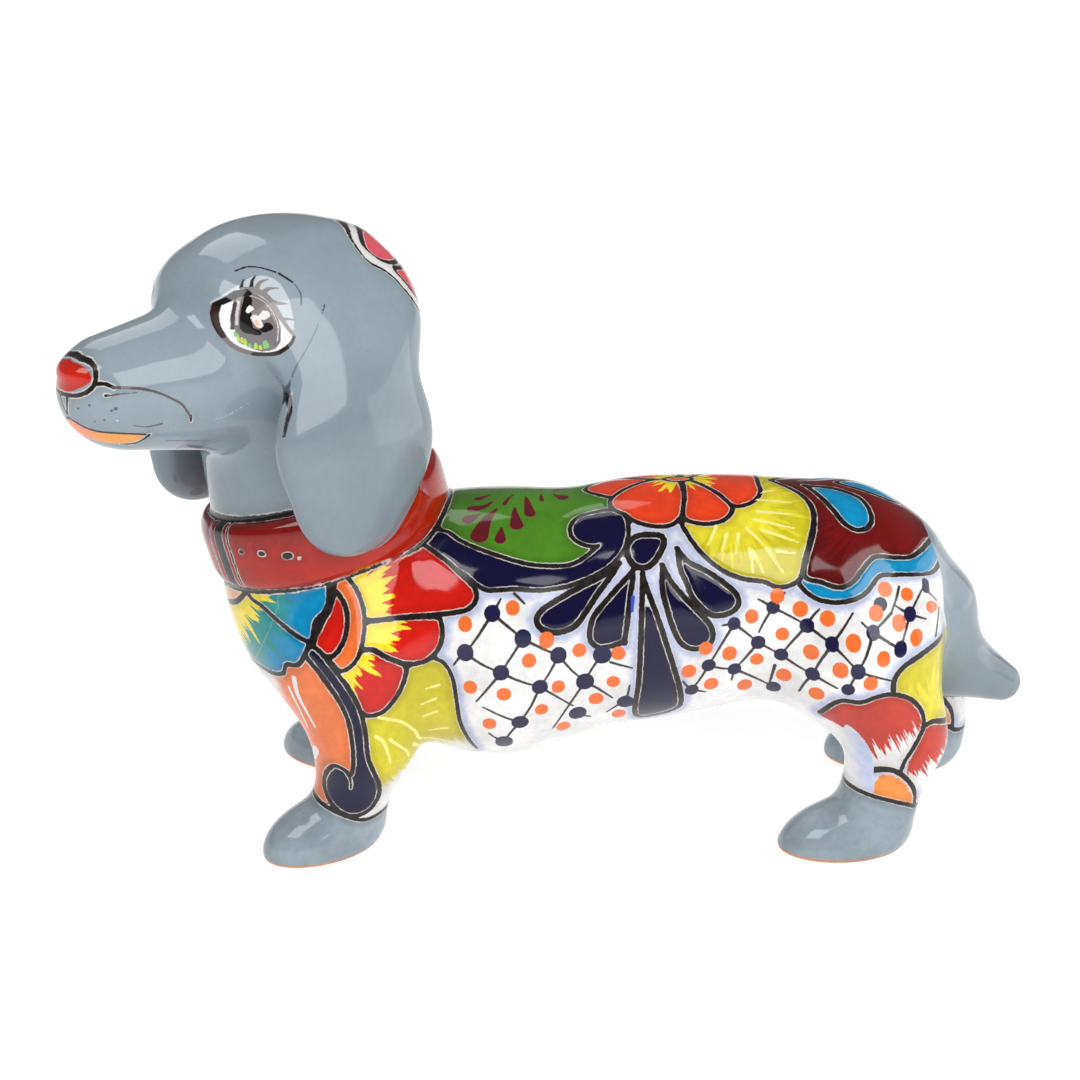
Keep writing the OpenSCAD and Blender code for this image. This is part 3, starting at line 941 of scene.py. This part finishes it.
def paint_eye(c):
    """A long-lashed almond eye on each side of the head."""
    # pale lid above the eye: a painted sheen of reflected light
    c.area([(21.6, -16.9), (22.2, -21.2), (24.4, -22.8), (27.6, -22.7), (30.4, -21.3), (34, -19.2),
            (37.2, -16.2), (35.5, -15.6), (29, -16.8), (24.9, -10.5), (23.3, -9), (22.3, -11.6)],
           LID_SHEEN, 0)
    lashes = [
        ((29, -20.3), (27.9, -21.9), (26.5, -23), 0.4, SMOKE),
        ((31.2, -20.1), (30.3, -21.3), (29.5, -22.2), 0.3, SMOKE),
        ((28.3, -19.7), (26.5, -21.4), (24.3, -22), 0.55, ASH),
        ((27.4, -18.7), (25.3, -19.8), (22.9, -19.8), 0.6, ASH),
        ((26.3, -17.1), (24.7, -16.2), (22.2, -15.8), 0.65, ASH),
        ((25.2, -12), (23.6, -12), (21.6, -11.5), 0.5, ASH),
    ]
    for root, bend, tip, wide, colour in lashes:
        c.daub([root, bend, tip], wide, colour, 0.12)
    # white and iris
    c.area([(23.4, -7.4), (23.4, -7.4), (24.5, -10.5), (25.4, -14.2), (26.6, -17.7), (28.3, -19.5),
            (30.7, -19.6), (32.9, -18.6), (34.8, -16.6), (36.3, -15.8), (37.3, -13.4), (37.6, -10.3),
            (36.8, -7.4), (35.2, -4.8), (32.7, -3.2), (30.4, -2.7), (28.4, -3.2), (26.3, -4.5),
            (24.6, -6)], rgb(242, 242, 240), 0)
    c.area(oval(30.5, -11.5, 4.6, 7.8), rgb(122, 114, 114), 0)
    c.daub([(33, -16.8), (34.1, -13.6), (34.5, -10.8)], 0.28, rgb(206, 202, 204), 0.2)
    c.daub([(33.5, -16.8), (34.8, -13.3), (35.2, -9.6)], 0.3, rgb(78, 64, 68))
    c.daub([(29.3, -7.5), (30.8, -6.6), (32.8, -6.7)], 1.9, rgb(116, 112, 118), 1.6)
    for x, s, tall, colour in EYE_GREENS:
        c.daub([(x, s), (x + 0.15, s - tall)], 0.3, colour, 0.15)
    c.daub([(28, -15.3), (29.6, -14.4), (31.1, -13.4)], 0.5, rgb(136, 130, 132), 0.6)
    # painted highlight on the iris
    c.daub([(28.5, -13.6), (29.4, -12.9)], 0.95, rgb(224, 224, 222), 0.8)
    # pupil and the glints in it
    c.daub([(30.9, -17.5), (32, -15.2), (32.8, -12.5), (33, -10.1)], 0.8, BLACK, 1.15)
    c.daub([(32.9, -9.5), (31.3, -8.9)], 1.0, BLACK, 0.8)
    c.daub([(28.8, -10.4), (29.8, -9.8)], 1.05, rgb(28, 18, 20), 0.9)
    c.daub([(31.2, -15.2), (32, -14.4)], 0.6, rgb(246, 246, 244), 0.35)
    c.daub([(30.9, -12.5), (30.6, -10.9)], 0.95, rgb(228, 224, 220), 0.8)
    c.daub([(31, -11.8), (30.9, -11)], 0.4, rgb(226, 184, 170), 0.4)
    c.daub(oval(30.4, -11.5, 3.9, 7)[3:7], 0.12, rgb(214, 210, 208), 0.1)
    # rims of the lids; the lower rim's half towards the nose is grey, a dark rim under a painted highlight
    c.daub([(31.1, -2.7), (33.5, -3.5), (35.6, -5.3), (36.8, -7.6)], 0.6, rgb(124, 112, 112))
    c.daub([(23.4, -7.5), (24.7, -5.8), (26.5, -4.4), (28.6, -3.2), (31.3, -2.7)], 0.4, SOOT, 0.65)
    c.daub([(36.7, -7.4), (37.3, -9.8), (37.3, -12.9), (36.5, -15.8)], 0.62, SOOT, 0.55)
    c.daub([(30.4, -19.5), (28.3, -19.3), (26.6, -17.7), (25.8, -14.7), (24.9, -11.1), (23.6, -8)], 0.95,
           ASH, 0.5)
    c.daub([(36.6, -15.8), (34.6, -17.3), (32.6, -18.7), (30.4, -19.1)], 0.5, BLACK, 0.85)


def paint_muzzle(c):
    """Nose and its ring, mouth line, lip and whisker dots."""
    c.area([(84, -3.7), (79, -3.6), (76, -3), (74, -1.8), (73.3, 0), (74.2, 1.4), (76.5, 2.7), (79, 3.8),
            (84, 4.2)], NOSE_RED, 0)
    c.stroke([(84, -5.2), (80.5, -5), (78, -4.6), (75, -4.1), (73, -2.8), (72.3, -0.5), (72.8, 1.7),
              (74.3, 3.4), (76.5, 4.5), (79, 4.9), (84, 5.1)], 0.6)
    # cleft and mouth line
    c.stroke([(80, 5.2), (80.6, 8), (81.4, 10.6)], 0.4, 0.35)
    c.stroke([(71.8, 1.2), (70, 1.4), (68, 2.4)], 0.55, 0.45)
    c.daub([(68.3, 2.3), (63, 3), (58, 4.7), (54, 7), (51, 9.2), (49.3, 11.6), (48.2, 13.6)], 0.4, MOUTH,
           0.3)
    c.stroke([(48.2, 13.2), (47.8, 15)], 0.45, 0.2)
    c.stroke([(70.1, 4.3), (69.3, 4.3)], 0.35)
    c.daub([(69.4, 4.4), (66, 4.1), (62.5, 4.3)], 0.26, MOUTH, 0.12)
    # lower lip
    hit = c.area([(60.4, 17.2), (66, 16.1), (72, 15.3), (77, 14.1), (84, 11.2), (84, 16.5), (77, 18.4),
                  (70, 19.3), (64, 19.3), (61.5, 18.2)], rgb(240, 160, 74), 0)
    c.wash(hit, (75, 16), (1, -0.4), rgb(240, 142, 104), rag=2, soft=3)
    c.daub([(84, 10.9), (79.5, 12.6), (77, 13.9), (74, 14.8), (68, 15.6), (62, 16.6), (60.2, 17)], 0.34,
           SMOKE, 0.3)
    c.stroke([(59, 17.4), (60.8, 18.8), (63.5, 19.8), (69, 19.6)], 0.5, 0.12)
    c.daub([(56, 14.2), (60, 14.5), (64, 13.5)], 0.22, MOUTH, 0.14)
    # whisker dots, painted shade along the creases under the cheek, and a pale line on the cheek
    for x, s, r in ((68, 8, 0.5), (69, 8.5, 0.35), (74, 7, 0.32), (77, 8.2, 0.32), (71, 11.2, 0.3),
                    (73.5, 11.7, 0.22)):
        c.dot(x, s, r, WHISKER)
    c.dot(68, 11.5, 0.25, rgb(220, 226, 230))
    c.daub([(53, 20.4), (47, 21.5), (40, 22.9)], 0.3, CREASE_SHADE, 0.2)
    c.daub([(47, 24), (41, 25.4), (34, 28)], 0.9, CREASE_SHADE, 0.3)
    c.daub([(41.2, 15.6), (37, 14.6), (33.5, 12.8), (31, 11.8)], 0.2, rgb(182, 197, 204), 0.12)


def paint_brow(c):
    """Eyebrow over the eye, and the scored seam that runs down to the ear's front edge."""
    c.daub([(29.9, -24.1), (27, -25), (24.4, -24.8), (21.4, -23.6)], 0.14, SMOKE, 0.25)
    c.daub([(20.7, -23.1), (18.6, -21)], 0.36, SMOKE)
    c.daub([(18.2, -20.4), (17.8, -18), (18.8, -15.4)], 0.16, WHISKER, 0.22)
    c.daub([(12, -14.4), (13.6, -12.4)], 0.3, WHISKER, 0.18)
    c.daub([(13.6, -12.4), (18, -7.5), (23.8, -1.2), (26, 1.8)], 0.12, rgb(104, 118, 126), 0.2)


def paint_crease(c):
    """Dark marks down the crease where the ear's front edge leaves the cheek, carrying on the seam line."""
    c.daub([(26, 1.8), (27.6, 5), (28.6, 7.6)], 0.12, WHISKER, 0.3)
    c.daub([(28.6, 7.6), (29.2, 9.3), (30, 11.5)], 0.5, BLACK, 0.4)
    c.daub([(30, 11.5), (31.6, 14.5), (33, 18)], 0.4, SMOKE, 0.25)


def paint_nape(c):
    """Pink flower with white edges on the back of the skull."""
    back = -NAPE_R * math.pi / 2
    c.area([(-66, -31.6), (back, -31.6), (-42, -31.4), (-32.6, -31), (-27, -30.2), (-21.6, -29),
            (-17.4, -27), (-14.4, -24.2), (-15, -21.8), (-18.4, -19.6), (-20.6, -16.5), (-21.5, -13.4),
            (-25, -6), (-32, -1), (-42, 1), (back, 2), (-66, 0)], WHITE, 0.5)
    petals = [
        [(-66, -29.8), (back, -29.8), (-45, -29.6), (-36, -28.9), (-29, -27.9), (-22.6, -26.2),
         (-20.4, -24.4), (-21.6, -22.2), (-25.2, -20.8), (-32, -20), (-42, -21), (back, -22), (-66, -22)],
        [(-24.8, -19), (-24.9, -15), (-26.8, -9.5), (-33, -4), (-43, -1.8), (back, -2), (-66, -2),
         (-66, -20), (back, -20), (-42, -19), (-32, -18.2)],
    ]
    for outline in petals:
        hit = c.area(outline, PINK, 0.6)
        c.fan(hit, (back, -20), 11, YELLOW, rag=9)
    c.area(oval(back, -20.5, 5.5, 4.5), ORANGE, 0.7)


def paint_head(points, name):
    """Paint of the head and of the pieces beside it; neck and tail stay plain grey."""
    x, s = head_chart(points)
    c = Canvas(x, s, GREY)
    if name == "head_shell":
        paint_eye(c)
        paint_muzzle(c)
        paint_brow(c)
        paint_nape(c)
    elif name == "nose":
        paint_muzzle(c)
    elif name.endswith("_ear"):
        paint_eye(c)
        paint_brow(c)
        paint_crease(c)
    return c


def paint_collar(points):
    """Red band with a buckle stripe, punched holes and inked edges."""
    x, s = collar_chart(points)
    c = Canvas(x, s, COLLAR_RED)
    c.second(slice(None), -s * 1.2 - 6, rgb(136, 12, 4), rag=5, soft=4)
    c.stroke([(-36.5, -14), (-36, 0), (-36.5, 14)], 0.5)
    c.stroke([(-30.5, -14), (-30, 0), (-30.5, 14)], 2.1)
    c.stroke([(-26, -14), (-25.6, 0), (-26, 14)], 0.4)
    for hole_x, hole_s, r in ((-21, -3.5, 0.8), (-14, -2.5, 0.95), (-6.5, -0.6, 1.3), (-3.4, 1, 0.35)):
        c.stroke([(hole_x - 0.3 * r, hole_s), (hole_x + 0.3 * r, hole_s + 0.1)], r * 0.9)
    return c


def away_from(points, name):
    """Distance of each point from the part of that name, in mm."""
    return part_distances(points)[:, NAMES.index(name)]


def ink_against(c, points, name, width):
    """Inks the edge of a piece where it meets the part of that name."""
    c.line = np.minimum(c.line, away_from(points, name) - width)


def darken_with_painted_shade(c, share, depth):
    """Darkens the glaze by the given depth where the share reaches one, as painted shade."""
    c.fill *= 1 - depth * np.clip(share, 0, 1)[:, None]


# Painted shade: ears and tail darker away from their joins, and the far ear's inner side darker beside the
# neck
JOIN_GAP = 3  # distance from its join where a hanging piece starts to darken
FADE = 12  # length over which a shade comes in
FREE_SHADE = 0.18
INNER_REACH = 18  # distance from the neck within which the far ear's inner side is dark
INNER_SHADE = 0.55


def paint(points, name):
    """Paint of one piece."""
    if name == "collar":
        c = paint_collar(points)
        ink_against(c, points, "neck_shell", 0.9)
        ink_against(c, points, "torso_shell", 0.8)
    elif name == "torso_shell" or name.endswith("_leg"):
        c = paint_body(points, name)
    else:
        c = paint_head(points, name)
    if name == "torso_shell":
        ink_against(c, points, "tail", 1.0)
    if name in ("torso_shell", "neck_shell"):
        ink_against(c, points, "collar", 1.1)
    # painted shade on the ears and the tail
    if name.endswith("_ear"):
        darken_with_painted_shade(c, (away_from(points, "head_shell") - JOIN_GAP) / FADE, FREE_SHADE)
    if name == "right_ear":
        darken_with_painted_shade(c, (INNER_REACH - away_from(points, "neck_shell")) / FADE, INNER_SHADE)
    if name == "tail":
        darken_with_painted_shade(c, (away_from(points, "torso_shell") - JOIN_GAP) / FADE, FREE_SHADE)
    return c


# ---------------------------------------------------------------- glaze material
class Nodes:
    """Short spellings for building one node tree."""

    def __init__(self, owner):
        owner.use_nodes = True
        self.tree = owner.node_tree
        self.tree.nodes.clear()

    def add(self, kind, **inputs):
        node = self.tree.nodes.new(kind)
        for key, value in inputs.items():
            self.put(node.inputs[key.replace("_", " ")], value)
        return node

    def put(self, socket, value):
        if isinstance(value, bpy.types.NodeSocket):
            self.tree.links.new(value, socket)
        else:
            socket.default_value = value

    def math(self, operation, a, b):
        node = self.tree.nodes.new("ShaderNodeMath")
        node.operation = operation
        self.put(node.inputs[0], a)
        self.put(node.inputs[1], b)
        return node.outputs[0]

    def ramp(self, value, low, high, to_low=0.0, to_high=1.0):
        node = self.tree.nodes.new("ShaderNodeMapRange")
        node.interpolation_type = "SMOOTHSTEP"
        for socket, item in zip(node.inputs, (value, low, high, to_low, to_high)):
            self.put(socket, item)
        return node.outputs[0]

    def blend(self, share, a, b, how="MIX"):
        node = self.tree.nodes.new("ShaderNodeMix")
        node.data_type = "RGBA"
        node.blend_type = how
        self.put(node.inputs[0], share)
        self.put(node.inputs[6], a)
        self.put(node.inputs[7], b)
        return node.outputs[2]

    def attribute(self, name, output="Vector"):
        node = self.tree.nodes.new("ShaderNodeAttribute")
        node.attribute_name = name
        return node.outputs[output]

    def split(self, vector):
        node = self.tree.nodes.new("ShaderNodeSeparateXYZ")
        self.put(node.inputs[0], vector)
        return node.outputs

    def noise(self, vector, scale, detail=2.0):
        node = self.add("ShaderNodeTexNoise", Vector=vector, Scale=scale, Detail=detail)
        return node.outputs[0]


POOLING = 0.12  # how much the glaze varies in depth
GREY_POOLING = 0.04
ROUGHNESS = 0.065
SPECKLE = 0.35
SPECK = (*rgb(70, 66, 66), 1)
BARE_EDGE = (*rgb(222, 214, 206), 1)
WORN_INK = (*rgb(40, 34, 32), 1)


def brushed_colour(n):
    """The two colours of a patch, which meet along a ragged brush edge."""
    change = n.split(n.attribute("change"))
    streak = n.noise(n.attribute("brush"), 0.6, 3.0)
    rag = n.math("MULTIPLY", n.math("SUBTRACT", streak, 0.5), n.math("MULTIPLY", change[1], 2.2))
    ragged = n.math("ADD", change[0], rag)
    share = n.ramp(ragged, n.math("MULTIPLY", change[2], -1.0), change[2])
    return n.blend(share, n.attribute("fill", "Color"), n.attribute("tint", "Color"))


def pooled_colour(n, place, colour, line, pooling):
    """Glaze that lies deeper and darker in some places, with a few dark specks."""
    pool = n.ramp(n.noise(place, 70.0, 3.0), 0.3, 0.7, 1 - pooling, 1 + 0.7 * pooling)
    brushed = n.ramp(n.noise(place, 420.0, 3.0), 0.3, 0.7, 1 - 0.5 * pooling, 1 + 0.4 * pooling)
    gathered = n.ramp(line, 0.3, 3.2, 1 - 1.5 * pooling, 1 + 0.3 * pooling)
    depth = n.math("MULTIPLY", n.math("MULTIPLY", pool, brushed), gathered)
    shade = n.add("ShaderNodeCombineColor", Red=depth, Green=depth, Blue=depth)
    colour = n.blend(1.0, colour, shade.outputs[0], "MULTIPLY")
    specks = n.ramp(n.noise(place, 1500.0, 1.0), 0.73, 0.78, 0.0, SPECKLE)
    return n.blend(specks, colour, SPECK)


def inked_colour(n, place, colour, ink):
    """Inked lines with bare edges, then the daubs on top; also where the ink is."""
    wobble = n.math("SUBTRACT", n.noise(place, 900.0, 2.0), 0.5)
    line = n.math("ADD", ink[0], n.math("MULTIPLY", wobble, 0.5))
    patchy = n.ramp(n.noise(place, 260.0), 0.35, 0.55, 0.2, 0.8)
    bare = n.math("MULTIPLY", n.ramp(line, 0.22, 0.36, 1.0, 0.0), patchy)
    colour = n.blend(bare, colour, BARE_EDGE)
    inked = n.ramp(line, -0.1, 0.12, 1.0, 0.0)
    worn = n.blend(n.ramp(n.noise(place, 500.0), 0.35, 0.75), (*INK, 1), WORN_INK)
    colour = n.blend(inked, colour, worn)
    daub = n.math("ADD", ink[1], n.math("MULTIPLY", wobble, 0.25))
    mark = n.ramp(daub, -0.1, 0.1, 1.0, 0.0)
    return n.blend(mark, colour, n.attribute("mark", "Color")), inked


def glaze_roughness(n, place, inked, matt):
    """Glossy glaze, a little duller over ink and dull on bare clay."""
    patchy = n.ramp(n.noise(place, 160.0), 0.3, 0.7, ROUGHNESS * 0.8, ROUGHNESS * 1.5)
    gloss = n.math("ADD", patchy, n.math("MULTIPLY", inked, 0.1))
    return n.math("ADD", gloss, n.math("MULTIPLY", matt, 0.65))


def glaze_relief(n, place, line, matt):
    """Glaze domed between the lines, slow swells of the clay and the grain of its bare parts."""
    dome = n.math("MULTIPLY", n.ramp(line, -0.5, 1.5), 0.00010)
    swell = n.math("MULTIPLY", n.noise(place, 45.0, 1.0), 0.00060)
    coarse = n.math("ADD", n.math("MULTIPLY", matt, 0.00006), 0.000003)
    grain = n.math("MULTIPLY", n.noise(place, 1800.0, 2.0), coarse)
    height = n.math("ADD", n.math("ADD", dome, swell), grain)
    return n.add("ShaderNodeBump", Strength=1.0, Distance=1.0, Height=height).outputs[0]


def glaze(name, pooling):
    """Painted glaze under a clear gloss; its attributes are what write_paint stores."""
    material = bpy.data.materials.new(name)
    n = Nodes(material)
    place = n.add("ShaderNodeTexCoord").outputs["Object"]
    ink = n.split(n.attribute("ink"))
    colour = pooled_colour(n, place, brushed_colour(n), ink[0], pooling)
    colour, inked = inked_colour(n, place, colour, ink)
    matt = n.ramp(ink[2], 0.3, 0.7)
    shader = n.add("ShaderNodeBsdfPrincipled", Base_Color=colour, IOR=1.48,
                   Roughness=glaze_roughness(n, place, inked, matt),
                   Normal=glaze_relief(n, place, ink[0], matt))
    out = n.add("ShaderNodeOutputMaterial")
    n.put(out.inputs[0], shader.outputs[0])
    return material


# ---------------------------------------------------------------- pieces
def clean_labels(points, faces):
    """The part that each face belongs to: the one whose own surface lies nearest."""
    middles = np.array([points[list(face)].mean(0) for face in faces])
    labels = np.argmin(part_distances(middles), axis=1)
    under_collar = (collar_space(middles.astype(FLOAT))[:, 2] < 0) & (labels == NAMES.index("neck_shell"))
    labels[under_collar] = NAMES.index("torso_shell")
    return labels, middles


def even_seams(points, faces, labels):
    """Slides the vertices on a seam between two parts to where both parts are equally near."""
    sides = {}
    for face, label in zip(faces, labels):
        for vertex in face:
            sides.setdefault(vertex, set()).add(int(label))
    seam = np.array([v for v, found in sides.items() if len(found) == 2])
    pair = np.array([sorted(sides[v]) for v in seam])
    rows = np.arange(len(seam))

    def difference(p):
        found = part_distances(p)
        return found[rows, pair[:, 0]] - found[rows, pair[:, 1]]

    moved = points[seam]
    for _ in range(3):
        slope = gradient(difference, moved)
        normal = outward(moved)
        slope = slope - (slope * normal).sum(1)[:, None] * normal
        size = (slope * slope).sum(1) + 0.05
        step = np.clip(difference(moved) / size, -0.5, 0.5)
        moved = settle(moved - step[:, None] * slope, 1)
    shift = moved - points[seam]
    reach = np.linalg.norm(shift, axis=1)[:, None] + 1e-9
    points = points.copy()
    points[seam] += shift * np.minimum(1, 0.55 * GRID / reach)
    return points


def rim_loops(faces):
    """Open edges of a sheet, each as (start, end) in its face's winding."""
    seen = set()
    for face in faces:
        for a, b in zip(face, face[1:] + face[:1]):
            seen.add((a, b))
    return [(a, b) for a, b in seen if (b, a) not in seen]


def chain(edges):
    """Sorts open edges into closed loops."""
    after = dict(edges)
    loops = []
    while after:
        start, end = after.popitem()
        loop = [start]
        while end != start and end in after:
            loop.append(end)
            end = after.pop(end)
        loops.append(loop)
    return loops


def make_piece(name, points, normals, faces, slot, origin, material):
    """One closed mesh: the painted outside, and behind it the inner wall or a cap on each opening."""
    used = sorted({vertex for face in faces for vertex in face})
    number = {vertex: k for k, vertex in enumerate(used)}
    faces = [tuple(number[vertex] for vertex in face) for face in faces]
    outer, normal = points[used], normals[used]
    c = paint(outer, name)
    count = len(used)
    edges = rim_loops(faces)
    if name in SHELLS:
        added = outer - normal * WALL
        facing = np.vstack([normal, -normal])
        more = [tuple(count + vertex for vertex in reversed(face)) for face in faces]
        more += [(b, a, a + count, b + count) for a, b in edges]
    else:
        loops = chain(edges)
        added = np.array([outer[loop].mean(0) for loop in loops]).reshape(-1, 3)
        facing = np.vstack([normal, [[0, 0, 1]] * len(loops)])
        more = []
        for k, loop in enumerate(loops):
            more += [(b, a, count + k) for a, b in zip(loop, loop[1:] + loop[:1])]
    mesh = bpy.data.meshes.new(name)
    everything = (np.vstack([outer, added]) + origin) * MM
    mesh.from_pydata(everything.tolist(), [], faces + more)
    mesh.shade_smooth()
    write_paint(mesh, c, outer, len(added))
    flat = np.zeros(len(mesh.polygons), bool)
    flat[len(faces):] = name not in SHELLS
    mesh.polygons.foreach_set("use_smooth", ~flat)
    mesh.normals_split_custom_set_from_vertices(facing.tolist())
    mesh.materials.append(material)
    piece = bpy.data.objects.new(name + "_glazed", mesh)
    bpy.context.collection.objects.link(piece)
    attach(piece, "root")
    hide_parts(name)
    return piece


def store(mesh, key, kind, values, behind, extra):
    """Puts a value on each outside vertex, and one value on all the extra vertices behind them."""
    rows = np.vstack([values, np.tile(behind, (extra, 1))])
    layer = mesh.attributes.new(key, "FLOAT_" + kind, "POINT")
    layer.data.foreach_set(kind.lower(), rows.ravel())


def write_paint(mesh, c, outer, extra):
    """Stores the paint on the vertices; the vertices behind the outside are bare clay."""
    bare = np.where(outer[:, 2] < SOLE_BARE, 1.0, 0.0)
    c.fill[bare > 0.5] = CLAY
    c.change[bare > 0.5, 0] = PLAIN[0]
    for key, values in (("fill", c.fill), ("tint", c.tint), ("mark", c.mark)):
        opaque = np.column_stack([values, np.ones(len(values))])
        store(mesh, key, "COLOR", opaque, (*CLAY, 1), extra)
    ink = np.column_stack([c.line, c.mark_line, bare])
    store(mesh, "brush", "VECTOR", c.brush, (0, 0, 0), extra)
    store(mesh, "change", "VECTOR", c.change, PLAIN, extra)
    store(mesh, "ink", "VECTOR", ink, (CLEAR, CLEAR, 1), extra)


def cut_vent(points, faces, labels, middles):
    """Leaves out the faces inside the kiln vent under the belly and rounds the edge they leave."""
    away = np.hypot(middles[:, 0] - VENT_X, middles[:, 1])
    hole = (away < VENT_R) & (middles[:, 2] < 60)
    edge = {v for face, gone in zip(faces, hole) if gone for v in face}
    edge &= {v for face, gone in zip(faces, hole) if not gone for v in face}
    edge = np.array(sorted(edge))
    points = points.copy()
    flat = points[edge, :2] - (VENT_X, 0)
    points[edge, :2] = flat / np.linalg.norm(flat, axis=1)[:, None] * VENT_R + (VENT_X, 0)
    keep = np.flatnonzero(~hole)
    return points, [faces[k] for k in keep], labels[keep]


# Glaze of each piece; every other piece is plain grey
SLOTS = {"torso_shell": "torso_glaze", "collar": "collar_glaze", "nose": "nose_glaze",
         "front_left_leg": "front_leg_glaze", "front_right_leg": "front_leg_glaze",
         "rear_left_leg": "rear_leg_glaze", "rear_right_leg": "rear_leg_glaze"}
GREY_SLOT = "grey_glaze"


def make_dog():
    """Finds the whole clay surface, cuts it into pieces and paints each one."""
    field, low = sample_grid()
    points, quads = surface_net(field, low)
    points, faces = refine(settle(points), quads)
    points = settle(points, 1)
    labels, middles = clean_labels(points, faces)
    points = even_seams(points, faces, labels)
    points, faces, labels = cut_vent(points, faces, labels, middles)
    normals = outward(points)
    origin = dog_origin()
    materials = {GREY_SLOT: glaze(GREY_SLOT, GREY_POOLING)}
    for slot in sorted(set(SLOTS.values())):
        materials[slot] = glaze(slot, POOLING)
    for k, name in enumerate(NAMES):
        own = [faces[j] for j in np.flatnonzero(labels == k)]
        slot = SLOTS.get(name, GREY_SLOT)
        make_piece(name, points, normals, own, slot, origin, materials[slot])


# ---------------------------------------------------------------- studio
FLOOR_HALF = 12.0
LIGHT_TARGET = (0, 0, 0.1)
# Name, degrees round from the camera's side towards the tail, degrees up; distance, width and height in m;
# radiance
LIGHTS = [
    ("window", 42, 33, 1.2, 1.05, 0.75, 3.8),
    ("key", -43, 48, 1.2, 0.56, 0.52, 5.0),
    ("side", 100, 2, 1.0, 0.7, 0.4, 1.2),
    ("top", -140, 56, 1.2, 0.6, 0.7, 2.2),
]
CAMERA_AIM = (-0.0109, 0.0067, 0.091)  # X from the middle of the CAD box, Y and Z in the frame, m
CAMERA_DISTANCE = 0.52
CAMERA_PITCH = 20
LENS = 55.5
SENSOR = 36


def pale_floor():
    """White sweep that glows a little more the farther it is from the dog, as a lit backdrop does."""
    material = bpy.data.materials.new("pale_floor")
    n = Nodes(material)
    place = n.add("ShaderNodeTexCoord").outputs["Object"]
    away = n.tree.nodes.new("ShaderNodeVectorMath")
    away.operation = "LENGTH"
    n.put(away.inputs[0], place)
    shader = n.add("ShaderNodeBsdfPrincipled", Base_Color=(0.4, 0.4, 0.4, 1), Roughness=0.9)
    shader.inputs["Emission Color"].default_value = (1, 1, 1, 1)
    n.put(shader.inputs["Emission Strength"], n.ramp(away.outputs["Value"], 0.15, 0.8, 0.78, 1.0))
    out = n.add("ShaderNodeOutputMaterial")
    n.put(out.inputs[0], shader.outputs[0])
    return material


def floor():
    mesh = bpy.data.meshes.new("floor")
    corners = [(x * FLOOR_HALF, y * FLOOR_HALF, 0) for x, y in ((-1, -1), (1, -1), (1, 1), (-1, 1))]
    mesh.from_pydata(corners, [], [(0, 1, 2, 3)])
    mesh.materials.append(pale_floor())
    sheet = bpy.data.objects.new("floor", mesh)
    bpy.context.collection.objects.link(sheet)


def soft_box(name, place, width, height, radiance):
    """A rectangular light; radiance is its brightness next to a white of 1."""
    light = bpy.data.lights.new(name, "AREA")
    light.shape = "RECTANGLE"
    light.size = width
    light.size_y = height
    light.energy = radiance * math.pi * width * height
    lamp = bpy.data.objects.new(name, light)
    lamp.location = place
    lamp.rotation_euler = (Vector(LIGHT_TARGET) - Vector(place)).to_track_quat("-Z", "Y").to_euler()
    bpy.context.collection.objects.link(lamp)


def aim(around, up, distance):
    """A place seen from the lights' target, at the angles that LIGHTS describes."""
    flat = math.cos(math.radians(up)) * distance
    around = math.radians(around)
    height = math.sin(math.radians(up)) * distance + LIGHT_TARGET[2]
    return (math.sin(around) * flat, -math.cos(around) * flat, height)


def sky():
    """Dim light from all round, as white as the floor along the horizon."""
    world = bpy.data.worlds.new("studio")
    n = Nodes(world)
    height = n.split(n.add("ShaderNodeTexCoord").outputs["Generated"])[2]
    fade = n.ramp(height, 0.02, 0.12, 1.0, 0.2)
    light = n.add("ShaderNodeBackground", Color=(1, 1, 1, 1), Strength=fade)
    out = n.add("ShaderNodeOutputWorld")
    n.put(out.inputs[0], light.outputs[0])
    return world


def studio():
    scene = bpy.context.scene
    scene.world = sky()
    scene.view_settings.view_transform = "Standard"
    floor()
    for name, around, up, distance, width, height, radiance in LIGHTS:
        soft_box(name, aim(around, up, distance), width, height, radiance)


def camera():
    low, high = cad_box
    target = Vector(((low[0] + high[0]) / 2 + CAMERA_AIM[0], *CAMERA_AIM[1:]))
    data = bpy.data.cameras.new("camera")
    data.sensor_width = SENSOR
    data.lens = LENS
    view = bpy.data.objects.new("camera", data)
    pitch = math.radians(CAMERA_PITCH)
    view.location = target + Vector((0, -math.cos(pitch), math.sin(pitch))) * CAMERA_DISTANCE
    view.rotation_euler = (math.radians(90 - CAMERA_PITCH), 0, 0)
    bpy.context.collection.objects.link(view)
    bpy.context.scene.camera = view


make_dog()
studio()
camera()
